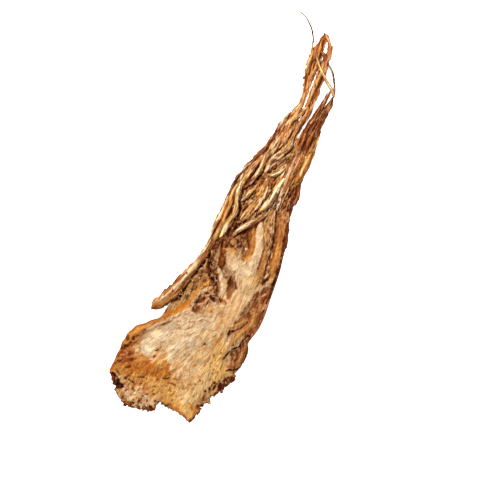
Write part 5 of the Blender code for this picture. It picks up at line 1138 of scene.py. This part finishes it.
# The side roots of the fork
# The side roots that part from the waist above the fork, pressed side by side and cut along: pale olive and
# straw on the cut, brown between.
FORK_ROOTS = [
    (2.4, 2.0, 1.0, [
        (-4.6, -9.0, 0.7), (-2.3, -2.6, 1.2), (0.6, 3.6, 1.2), (3.4, 9.4, 1.2), (6.0, 14.6, 1.4),
        (9.8, 19.4, 1.5), (14.4, 24.0, 1.6), (18.6, 28.4, 1.6), (21.9, 33.4, 1.4), (24.7, 38.4, 1.3),
        (28.0, 42.2, 0.9)], "bark", "russet", 121, {"gap": "umber", "gain": (1.35, 1.05)}),
    (3.2, 3.3, 0.9, [
        (8.8, 16.6, 0.7), (7.0, 12.2, 1.2), (6.2, 7.4, 1.3), (5.6, 3.4, 1.3), (3.6, -0.6, 1.3),
        (1.4, -4.2, 1.2), (-1.2, -8.2, 0.6)], "straw", "bark", 122),
    (3.2, 3.3, 0.9, [
        (16.8, 25.0, 0.7), (14.0, 21.8, 1.2), (11.2, 18.6, 1.3), (9.0, 15.4, 1.2), (7.4, 12.6, 0.6)],
     "straw", "bark", 123, {"gain": 1.25}),
    (3.1, 3.4, 0.9, [
        (24.4, 35.0, 0.8), (22.0, 30.6, 1.3), (19.2, 26.6, 1.3), (17.0, 23.4, 1.2), (15.6, 20.2, 1.1),
        (13.8, 17.2, 1.1), (11.6, 14.6, 1.0), (9.6, 12.0, 0.6)], "pale", "brown", 124, {"gain": 1.15}),
    (2.8, 3.3, 0.9, [
        (28.4, 31.0, 0.9), (26.4, 27.8, 1.4), (23.4, 25.2, 1.5), (20.4, 23.2, 1.4), (18.4, 20.6, 1.2),
        (17.2, 17.8, 0.7)], "pale", "brown", 125, {"gain": 1.6}),
    (3.3, 3.4, 0.9, [
        (26.0, 21.4, 0.6), (23.6, 19.0, 1.0), (21.6, 17.6, 1.0), (18.8, 16.4, 0.6)], "pale", "brown", 126,
     {"gain": 1.5}),
    (2.9, 3.2, 0.9, [
        (26.0, 25.2, 0.5), (23.8, 23.0, 0.9), (21.4, 21.4, 1.1), (19.2, 19.8, 0.9), (17.2, 18.2, 0.5)],
     "pink", "bark", 134),
    (3.0, 3.5, 0.95, [
        (28.4, 22.8, 0.8), (25.2, 17.2, 1.2), (23.0, 13.4, 1.3), (21.0, 9.8, 1.3), (19.2, 6.6, 1.3),
        (17.0, 4.4, 1.2), (14.8, 2.6, 0.6)], "straw", "bark", 127, {"gain": 1.52}),
    (3.3, 3.3, 0.9, [
        (18.4, 2.2, 0.6), (15.2, 0.0, 1.1), (12.0, -2.0, 1.1), (9.0, -3.8, 1.1), (6.4, -5.6, 1.0),
        (4.0, -7.8, 0.6)], "straw", "bark", 128),
    (2.5, 2.5, 0.6, [
        (18.0, 16.2, 1.1), (16.6, 11.8, 2.0), (14.8, 7.8, 2.2), (12.0, 4.2, 2.1), (9.4, 1.0, 1.7),
        (7.0, -2.2, 0.8)], "tan", "bark", 129),
    (3.2, 3.2, 0.9, [
        (14.2, 13.4, 0.6), (11.6, 10.8, 1.0), (9.6, 8.6, 1.0), (7.4, 6.4, 0.6)], "straw", "bark", 130),
    (2.4, 2.7, 0.85, [
        (32.4, 26.2, 1.6), (30.0, 21.4, 2.2), (27.6, 16.6, 2.1), (25.2, 11.8, 1.9), (23.2, 7.0, 1.6),
        (22.0, 2.2, 0.9)], "brown", "bark", 131, {"gain": 1.28}),
    (3.3, 3.5, 0.9, [
        (-4.9, -8.8, 0.3), (-4.0, -5.6, 0.5), (-2.6, -2.4, 0.6), (-0.8, 1.2, 0.6), (0.8, 4.4, 0.55),
        (1.9, 7.0, 0.45), (2.8, 9.2, 0.25)], "peach", "umber", 132,
     {"around": 20, "plain": 0.8, "gain": 1.65, "gap": "umber"}),
    (3.4, 3.6, 0.9, [
        (6.0, 14.4, 0.3), (5.2, 12.4, 0.6), (4.3, 9.8, 0.7), (3.5, 7.0, 0.7), (2.6, 4.2, 0.65),
        (1.5, 1.4, 0.6),
        (0.4, -1.6, 0.55), (-0.8, -4.6, 0.3)], "olive", "umber", 133,
     {"around": 20, "plain": 0.6, "gain": 1.6, "gap": "umber"}),
]
PALE_STRANDS = ("white", "pale", "straw", "tan", "peach", "brown")
SAMPLES = 80
DRIFT, FARTHEST_ASIDE, SUNK = 0.1, 0.85, 0.45
# The fine strands' settings, among them the strength and colour of their painted highlights.
FINE_FINISH = {"around": 12, "step": 0.5, "shine": 0.25, "glint": "pale", "plain": 0.6}


def fine_strands(parents, each, colours, flank, gap, seed, gain, thin=(0.22, 0.40), stray=0.05):
    """Thinner strands lying on the cut tops of wider ones: each follows a stretch of its parent's path, to
    one side of its middle, half sunk in it. A few stray outward at one end."""
    rng = np.random.default_rng(seed)
    made = []
    for values in parents:
        first, last, roundness, path = values[:4]
        control = np.array(path, float)
        length = np.hypot(*np.diff(control[:, :2], axis=0).T).sum()
        line = along(path, SAMPLES)
        heading = np.gradient(line[:, :2], axis=0)
        heading /= np.hypot(*heading.T)[:, None]
        for _ in range(max(1, int(each * length / 20))):
            size = int(SAMPLES * min(0.8, rng.uniform(5, 14) / length))
            start = rng.integers(2, max(3, SAMPLES - 2 - size))
            part = np.arange(start, min(start + size, SAMPLES - 1), max(1, size // 6))
            if len(part) < 4:
                continue
            aside = rng.uniform(-0.75, 0.75) + DRIFT * rng.normal(size=len(part)).cumsum()
            aside = np.clip(aside, -FARTHEST_ASIDE, FARTHEST_ASIDE)
            if rng.uniform() < stray:
                aside = aside + np.sign(aside[0]) * np.linspace(0, 1, len(part)) ** 2 * 0.6
            wide = line[part, 2]
            x = line[part, 0] + heading[part, 1] * wide * aside
            y = line[part, 1] - heading[part, 0] * wide * aside
            last_one = len(part) - 1
            taper = np.interp(np.arange(len(part)), [0, 1, last_one - 1, last_one], [0.6, 1, 1, 0.5])
            thick = rng.uniform(*thin) * taper
            rise = roundness * wide * np.sqrt(np.maximum(0.05, 1 - aside**2)) ** OVAL - SUNK * thick
            height = first + (last - first) * (part / (SAMPLES - 1)) + rise
            crest = colours[rng.integers(len(colours))]
            made.append((height[0], height[-1], 0.9, list(zip(x, y, thick)), crest, flank,
                         int(rng.integers(200, 900)), {"gain": gain, "gap": gap, **FINE_FINISH}))
    return made


bundle("fork_roots", FORK_ROOTS + fine_strands(FORK_ROOTS[1:12], 8, PALE_STRANDS, "bark", "umber", 81, 1.22),
       strand_finish)

# The side roots of the tail
# The thick side roots that make the tail, still parting from one another in long slits, with their bark on
# and fibres showing where they were cut.
TAIL_ROOTS = [
    (1.9, 1.5, 0.78, [
        (18.8, 23.2, 1.8), (22.8, 29.6, 2.7), (26.0, 35.0, 2.8), (28.1, 39.0, 2.4), (29.7, 42.2, 1.9),
        (31.7, 45.4, 1.15), (33.0, 48.6, 1.2), (34.0, 52.2, 1.5), (34.8, 56.0, 1.9), (35.8, 59.8, 2.6),
        (37.0, 63.0, 2.5), (38.6, 66.4, 2.15), (39.95, 69.2, 1.85), (40.9, 71.8, 1.45), (41.0, 73.7, 0.7)],
     "chestnut", "russet", 141,
     {"around": 56, "folds": 1.6, "glint": "peach", "gain": (1.6, 1.16), "gap": "russet", "shine": 0.4}),
    (2.0, 1.6, 0.85, [
        (26.2, 26.6, 1.5), (28.2, 31.2, 1.3), (30.2, 35.0, 1.3), (32.2, 38.6, 1.4), (33.9, 41.6, 1.7),
        (35.3, 45.2, 1.72), (36.6, 48.8, 1.76), (37.85, 52.2, 1.68), (39.15, 56.0, 1.9), (40.2, 59.2, 1.85),
        (41.3, 61.8, 1.3), (42.3, 64.2, 1.25), (43.0, 66.6, 1.0), (43.6, 68.8, 0.5)],
     "chestnut", "russet", 142,
     {"around": 50, "folds": 1.6, "glint": "peach", "gain": (1.4, 1.08), "gap": "russet", "shine": 0.4}),
    (3.0, 3.0, 1.0, [
        (34.0, 44.2, 0.7), (31.2, 41.4, 0.9), (28.0, 39.0, 0.9), (25.0, 36.4, 0.7)], "straw", "brown", 143),
    (2.0, 1.9, 0.9, [
        (29.4, 24.4, 1.8), (30.8, 28.4, 1.8), (32.2, 31.8, 1.6), (33.7, 34.5, 1.4), (35.5, 37.3, 1.3),
        (37.3, 40.1, 1.25), (39.3, 43.3, 1.1), (41.2, 46.7, 0.9), (43.4, 50.4, 0.6)], "rust", "umber", 144,
     {"around": 40, "folds": 1.6, "glint": "peach", "gain": (0.95, 0.66), "gap": "dark", "shine": 0.8}),
    (2.0, 2.2, 0.85, [
        (33.0, 24.2, 2.2), (34.6, 29.4, 2.3), (36.2, 32.9, 2.1), (37.7, 35.8, 1.8), (39.4, 38.8, 1.7),
        (41.3, 42.0, 1.5), (43.2, 45.2, 1.05), (44.5, 48.4, 0.7)], "bark", "umber", 145,
     {"around": 44, "folds": 1.6, "glint": "tan", "gap": "dark", "gain": (1.0, 0.46)}),
    (1.9, 2.0, 0.85, [
        (39.3, 35.4, 0.5), (37.6, 31.4, 1.1), (36.0, 27.0, 1.5), (34.2, 22.6, 1.7), (32.2, 18.0, 1.7),
        (30.2, 13.2, 1.1)], "tan", "chestnut", 146,
     {"around": 44, "folds": 0.9, "glint": "straw", "shine": 0.3, "gap": "rust", "gain": 1.62, "plain": 0.5}),
]
DULL_STRANDS = ("tan", "chestnut", "chestnut", "brown", "straw", "amber")
PRONG_STRANDS = ("rust", "russet", "umber", "bark", "tan")
bundle("tail_roots", TAIL_ROOTS
       + fine_strands(TAIL_ROOTS[:3] + TAIL_ROOTS[5:], 8, DULL_STRANDS, "brown", "russet", 82, 1.27)
       + fine_strands(TAIL_ROOTS[3:5], 8, PRONG_STRANDS, "russet", "umber", 83, 0.88), strand_finish)

# The rootlets
# The finest roots of the tail: a hair of a root past the tip, one that crosses the slit, an arched one and
# the knot where they meet. They are thin, stiff and brown.
bundle("rootlets", [
    (2.0, 2.0, 0.9, [
        (41.4, 73.2, 0.5), (42.0, 71.7, 0.8), (42.7, 69.9, 0.75), (42.9, 68.2, 0.85), (42.4, 66.2, 0.9)],
     "chestnut", "brown", 151, {"gain": 1.3, "gap": "russet", "around": 20}),
    (2.1, 2.0, 0.9, [
        (44.2, 68.5, 0.3), (43.6, 67.3, 0.7), (42.95, 65.8, 0.9), (42.6, 63.8, 0.95), (42.2, 62.0, 0.8)],
     "chestnut", "brown", 162, {"gain": 1.3, "gap": "russet"}),
    (2.6, 2.4, 0.9, [
        (38.8, 66.6, 0.5), (40.3, 65.4, 0.7), (41.4, 62.8, 0.8), (42.4, 60.2, 0.6)], "brown", "umber", 156,
     {"gain": 1.0, "glint": "chestnut"}),
    (2.1, 2.1, 0.8, [(34.7, 62.0, 0.45), (33.8, 61.3, 0.4), (33.1, 60.7, 0.2)], "umber", "dark", 157,
     {"around": 12}),
    (2.1, 2.1, 0.8, [(33.4, 56.5, 0.45), (32.7, 55.8, 0.4), (32.1, 55.2, 0.2)], "umber", "dark", 158,
     {"around": 12}),
    (2.1, 2.1, 0.8, [(33.2, 53.6, 0.45), (32.5, 53.0, 0.4), (31.9, 52.5, 0.2)], "umber", "dark", 159,
     {"around": 12}),
    (2.1, 2.1, 0.8, [(36.0, 65.4, 0.4), (35.1, 64.7, 0.35), (34.5, 64.0, 0.15)], "brown", "umber", 160,
     {"around": 12}),
    (2.1, 2.1, 0.8, [(40.0, 71.8, 0.45), (39.3, 71.1, 0.4), (38.8, 70.4, 0.15)], "brown", "umber", 161,
     {"around": 12}),
    (2.2, 4.4, 1.0, [
        (35.4, 62.0, 0.45), (36.0, 67.4, 0.40), (36.4, 71.4, 0.36), (35.6, 75.4, 0.36), (33.8, 79.0, 0.34),
        (32.0, 80.9, 0.32), (30.3, 82.1, 0.28)], "tan", "bark", 152, {"around": 16}),
    (3.8, 2.3, 1.0, [
        (36.9, 65.9, 0.4), (38.3, 61.6, 0.5), (39.6, 58.4, 0.55), (41.1, 55.4, 0.6), (42.6, 52.8, 0.65),
        (44.0, 50.4, 0.7), (44.8, 47.8, 0.5)], "straw", "brown", 153,
     {"around": 20, "plain": 0.8, "gap": "umber"}),
    (2.2, 2.3, 1.0, [
        (41.6, 61.6, 0.45), (43.8, 58.4, 0.45), (44.8, 54.2, 0.45), (44.9, 50.8, 0.45), (44.7, 48.2, 0.4)],
     "grey", "umber", 154, {"around": 16, "plain": 0.9, "gain": 0.9}),
    (2.4, 2.4, 1.0, [(44.0, 49.7, 0.5), (44.8, 49.3, 0.7), (45.4, 49.0, 0.3)], "bark", "umber", 155,
     {"around": 16}),
], strand_finish)

# The crumbs of the crown
# Broken bark and soft wood that crumbled where the crown was trimmed: small rough lumps stuck along the lower
# left rim, at the right corner and in the bark pocket of the waist.
CRUMB_ROWS, CRUMB_TURNS, CRUMB_PLACES = 9, 14, 60
CRUMB_ROUGHNESS, CRUMB_FLATNESS = 0.45, 0.7
CRUMB_LEFT, CRUMB_LOW, OVER_THE_RIM = -44.9, -81.2, 3
CRUMB_PATCHES = [
    (34, (0.45, 0.95), (1.2, 3.4), ("umber", "rust", "dark", "peach"), [(-44, -62.8), (-42.4, -66.4),
     (-41.2, -70.2), (-39.4, -73.6)]),
    (44, (0.4, 0.9), (1.2, 3.4), ("rust", "peach", "white", "umber", "straw"), [(-38.6, -74.2),
     (-34.4, -75.3), (-30.8, -76.2), (-28, -76.4)]),
    (70, (0.22, 0.5), (3.7, 4.1), ("peach", "white", "straw", "rust", "umber"), [(-40, -68.6), (-37.4, -71.6),
     (-34, -73.2), (-29.6, -74.8)]),
    (16, (0.35, 0.7), (1.2, 3.4), ("gold", "amber", "umber"), [(-24.6, -74), (-19.2, -76.6), (-14.8, -79.6),
     (-12.4, -81)]),
    (12, (0.35, 0.65), (1.2, 3.4), ("gold", "umber", "straw"), [(-10.6, -79), (-9.2, -76), (-5.4, -73.8)]),
    (34, (0.45, 0.95), (1.2, 3.4), ("umber", "dark", "grey", "straw", "bark"), [(-4, -70.8), (-1, -68.6),
     (1.6, -66.4), (4.6, -64.2)]),
    (44, (0.25, 0.55), (3.2, 3.8), ("umber", "dark", "grey", "bark", "olive", "grey"), [(-1, -9),
     (-3.6, -14.5), (-4.4, -20), (-3.4, -26), (-2.6, -31)]),
    (14, (0.2, 0.45), (3.2, 3.6), ("umber", "grey", "rust", "bark"), [(9.4, -6), (8, -9.4), (8.8, -13)]),
    (16, (0.2, 0.4), (3.4, 3.8), ("umber", "grey", "straw"), [(-8, -22.4), (-12.4, -26.8), (-17.4, -33.2)]),
]


def crumb(x, y, z, size, long, turned, seed):
    """A ball of that size, in mm, pushed in and out by noise, flattened, drawn out and turned. Returns points
    and faces."""
    polar = np.linspace(0, np.pi, CRUMB_ROWS + 2)[1:-1, None]
    turn = np.linspace(0, 2 * np.pi, CRUMB_TURNS, endpoint=False)[None]
    ball = np.stack([np.sin(polar) * np.cos(turn), np.sin(polar) * np.sin(turn),
                     np.cos(polar) + 0 * turn], -1)
    ball = np.vstack([[[0, 0, 1]], ball.reshape(-1, 3), [[0, 0, -1]]])
    x_at, y_at = ball[:, 0] * 1.3 + ball[:, 2], ball[:, 1] * 1.3 - ball[:, 2]
    push = 1 + CRUMB_ROUGHNESS * lumps(x_at, y_at, 0.8, seed, 2)
    ball = ball * (size * push)[:, None] * np.array([long, 1 / long, CRUMB_FLATNESS])
    c, s = np.cos(turned), np.sin(turned)
    points = np.array([x, y, z]) + ball @ np.array([[c, s, 0], [-s, c, 0], [0, 0, 1]])
    ring = 1 + np.arange(CRUMB_ROWS * CRUMB_TURNS).reshape(CRUMB_ROWS, CRUMB_TURNS)
    after = np.roll(ring, -1, axis=1)
    faces = np.stack([ring[:-1], ring[1:], after[1:], after[:-1]], -1).reshape(-1, 4).tolist()
    last = len(points) - 1
    faces += [[0, int(a), int(b)] for a, b in zip(ring[0], after[0])]
    faces += [[last, int(b), int(a)] for a, b in zip(ring[-1], after[-1])]
    return points, faces


def crumbs_mesh():
    """Crumbs strewn along each patch's line, half sunk in the rim behind it or in the face over it. A patch
    is (count, sizes, heights over the underside, colours, line), in mm."""
    rng = np.random.default_rng(71)
    points, faces, tints, count = [], [], [], 0
    for number, (smallest, largest), (lowest, highest), colours, line in CRUMB_PATCHES:
        at = along([(x, y, 0) for x, y in line], CRUMB_PLACES)
        in_rim = lowest < OVER_THE_RIM
        for _ in range(number):
            x, y, _ = at[rng.integers(CRUMB_PLACES)] + rng.normal(0, 0.35 if in_rim else 0.9, 3)
            size = rng.uniform(smallest, largest)
            x, y = max(x, CRUMB_LEFT + 1.5 * size), max(y, CRUMB_LOW + size)
            z = underside(np.array(x), np.array(y)) + rng.uniform(lowest, highest)
            long = 1.0 if in_rim else rng.uniform(1.2, 2.2)
            p, f = crumb(x, y, z, size, long, rng.uniform(0, np.pi), int(rng.integers(1, 900)))
            points.append(p)
            faces += [[count + i for i in face] for face in f]
            shade = PAINT[colours[rng.integers(len(colours))]] * rng.uniform(0.7, 1.15)
            tints.append(np.tile(shade, (len(p), 1)))
            count += len(p)
    points = np.vstack(points)
    return points, faces, np.vstack(tints), points[:, :2]


crumbs = add_mesh("crown_crumbs", *crumbs_mesh())
crumbs.data.materials.append(dried_root("crumbs_of_bark", 0.3, 1.0, *STRAND_TONES))
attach(crumbs, "root")
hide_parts("root_slice")

# The floor, the light and the camera
# A plain pale floor, one large soft lamp at the upper left with a pale sky round it, and a camera straight
# above with a long lens.
FLOOR_SIZE = 3.0
PHOTO_WIDTH = 0.2
LENS, SENSOR = 150.0, 36.0
PHOTO_MIDDLE, FOCUS_HEIGHT = (0.0112, -0.013), 0.004
FLOOR_GLOW, SKY_STRENGTH = 0.85, 1.2
LAMP_SIZE, LAMP_POWER, LAMP_PLACE = 0.35, 15.5, (-0.42, 0.5, 0.62)

floor_mesh = bpy.data.meshes.new("floor")
half_floor = FLOOR_SIZE / 2
floor_mesh.from_pydata(
    [(-half_floor, -half_floor, 0), (half_floor, -half_floor, 0), (half_floor, half_floor, 0),
     (-half_floor, half_floor, 0)], [], [(0, 1, 2, 3)])
floor = bpy.data.objects.new("floor", floor_mesh)
bpy.context.scene.collection.objects.link(floor)
floor_material = bpy.data.materials.new("pale_floor")
floor_material.use_nodes = True
floor_shader = floor_material.node_tree.nodes["Principled BSDF"]
floor_shader.inputs["Base Color"].default_value = (0.93, 0.93, 0.93, 1.0)
floor_shader.inputs["Roughness"].default_value = 0.9
floor_shader.inputs["Emission Color"].default_value = (1.0, 1.0, 1.0, 1.0)
floor_shader.inputs["Emission Strength"].default_value = FLOOR_GLOW
floor_mesh.materials.append(floor_material)

world = bpy.data.worlds.new("pale_sky")
world.use_nodes = True
world.node_tree.nodes["Background"].inputs["Color"].default_value = (1.0, 1.0, 1.0, 1.0)
world.node_tree.nodes["Background"].inputs["Strength"].default_value = SKY_STRENGTH
bpy.context.scene.world = world

lamp_data = bpy.data.lights.new("soft_lamp", "AREA")
lamp_data.shape = "DISK"
lamp_data.size = LAMP_SIZE
lamp_data.energy = LAMP_POWER
lamp = bpy.data.objects.new("soft_lamp", lamp_data)
lamp.location = LAMP_PLACE
lamp.rotation_euler = (-lamp.location).to_track_quat("-Z", "Y").to_euler()
bpy.context.scene.collection.objects.link(lamp)

camera_data = bpy.data.cameras.new("camera")
camera_data.lens = LENS
camera_data.sensor_width = SENSOR
camera = bpy.data.objects.new("camera", camera_data)
camera.location = (*PHOTO_MIDDLE, FOCUS_HEIGHT + PHOTO_WIDTH * LENS / SENSOR)
bpy.context.scene.collection.objects.link(camera)
bpy.context.scene.camera = camera
bpy.context.scene.view_settings.view_transform = "Standard"
